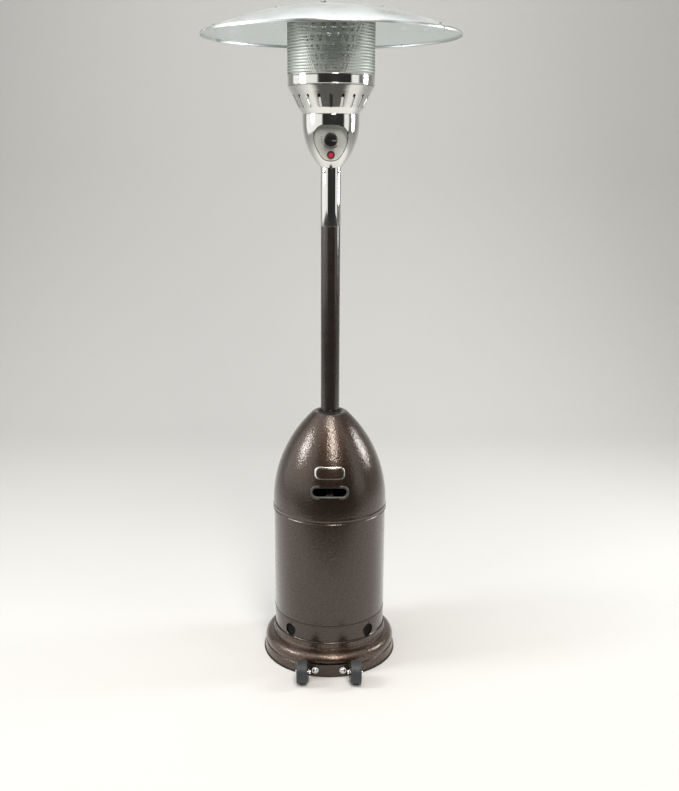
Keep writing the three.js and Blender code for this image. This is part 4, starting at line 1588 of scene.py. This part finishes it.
class HEATER_OT_post(bpy.types.Operator):
    """Builds the post and its polished sleeve."""

    bl_idname = "heater.post"
    bl_label = "Post"

    def execute(self, context):
        post()
        return {"FINISHED"}


class HEATER_OT_housing(bpy.types.Operator):
    """Builds the housing, its recess and the marks in it."""

    bl_idname = "heater.housing"
    bl_label = "Control housing"

    def execute(self, context):
        housing()
        return {"FINISHED"}


class HEATER_OT_controls(bpy.types.Operator):
    """Builds the knob and the igniter."""

    bl_idname = "heater.controls"
    bl_label = "Controls"

    def execute(self, context):
        controls()
        return {"FINISHED"}


class HEATER_OT_burner(bpy.types.Operator):
    """Builds the bowl, band, emitter screen and flame cone."""

    bl_idname = "heater.burner"
    bl_label = "Burner"

    def execute(self, context):
        burner()
        return {"FINISHED"}


class HEATER_OT_reflector(bpy.types.Operator):
    """Builds the dish, its bolts and screws."""

    bl_idname = "heater.reflector"
    bl_label = "Reflector"

    def execute(self, context):
        reflector()
        return {"FINISHED"}


class HEATER_OT_cover(bpy.types.Operator):
    """Builds the cover, slot frame, plate and grommet."""

    bl_idname = "heater.cover"
    bl_label = "Tank cover"

    def execute(self, context):
        cover()
        return {"FINISHED"}


class HEATER_OT_plain_nodes(bpy.types.Operator):
    """Finishes the CAD nodes that still show."""

    bl_idname = "heater.plain_nodes"
    bl_label = "Inner pieces"

    def execute(self, context):
        plain_nodes()
        return {"FINISHED"}


class HEATER_OT_stage(bpy.types.Operator):
    """Sets the floor, surroundings, lights and camera."""

    bl_idname = "heater.stage"
    bl_label = "Stage"

    def execute(self, context):
        stage()
        return {"FINISHED"}


OPERATORS = (
    HEATER_OT_materials,
    HEATER_OT_base,
    HEATER_OT_wheels,
    HEATER_OT_post,
    HEATER_OT_housing,
    HEATER_OT_controls,
    HEATER_OT_burner,
    HEATER_OT_reflector,
    HEATER_OT_cover,
    HEATER_OT_plain_nodes,
    HEATER_OT_stage,
)


class HEATER_PT_panel(bpy.types.Panel):
    """Lists the heater's builders."""

    bl_label = "Patio Heater"
    bl_space_type = "VIEW_3D"
    bl_region_type = "UI"
    bl_category = "Heater"

    def draw(self, context):
        heater = context.scene.heater
        for name in heater.bl_rna.properties.keys():
            if name not in ("rna_type", "name"):
                self.layout.prop(heater, name)
        for operator in OPERATORS:
            self.layout.operator(operator.bl_idname)


CLASSES = (HeaterSettings, *OPERATORS, HEATER_PT_panel)


def register():
    for cls in CLASSES:
        bpy.utils.register_class(cls)
    bpy.types.Scene.heater = PointerProperty(type=HeaterSettings)


def unregister():
    del bpy.types.Scene.heater
    for cls in reversed(CLASSES):
        bpy.utils.unregister_class(cls)


def main():
    register()
    bpy.ops.heater.materials()
    bpy.ops.heater.base()
    bpy.ops.heater.wheels()
    bpy.ops.heater.post()
    bpy.ops.heater.housing()
    bpy.ops.heater.controls()
    bpy.ops.heater.burner()
    bpy.ops.heater.reflector()
    bpy.ops.heater.cover()
    bpy.ops.heater.plain_nodes()
    bpy.ops.heater.stage()


if __name__ == "__main__":
    main()
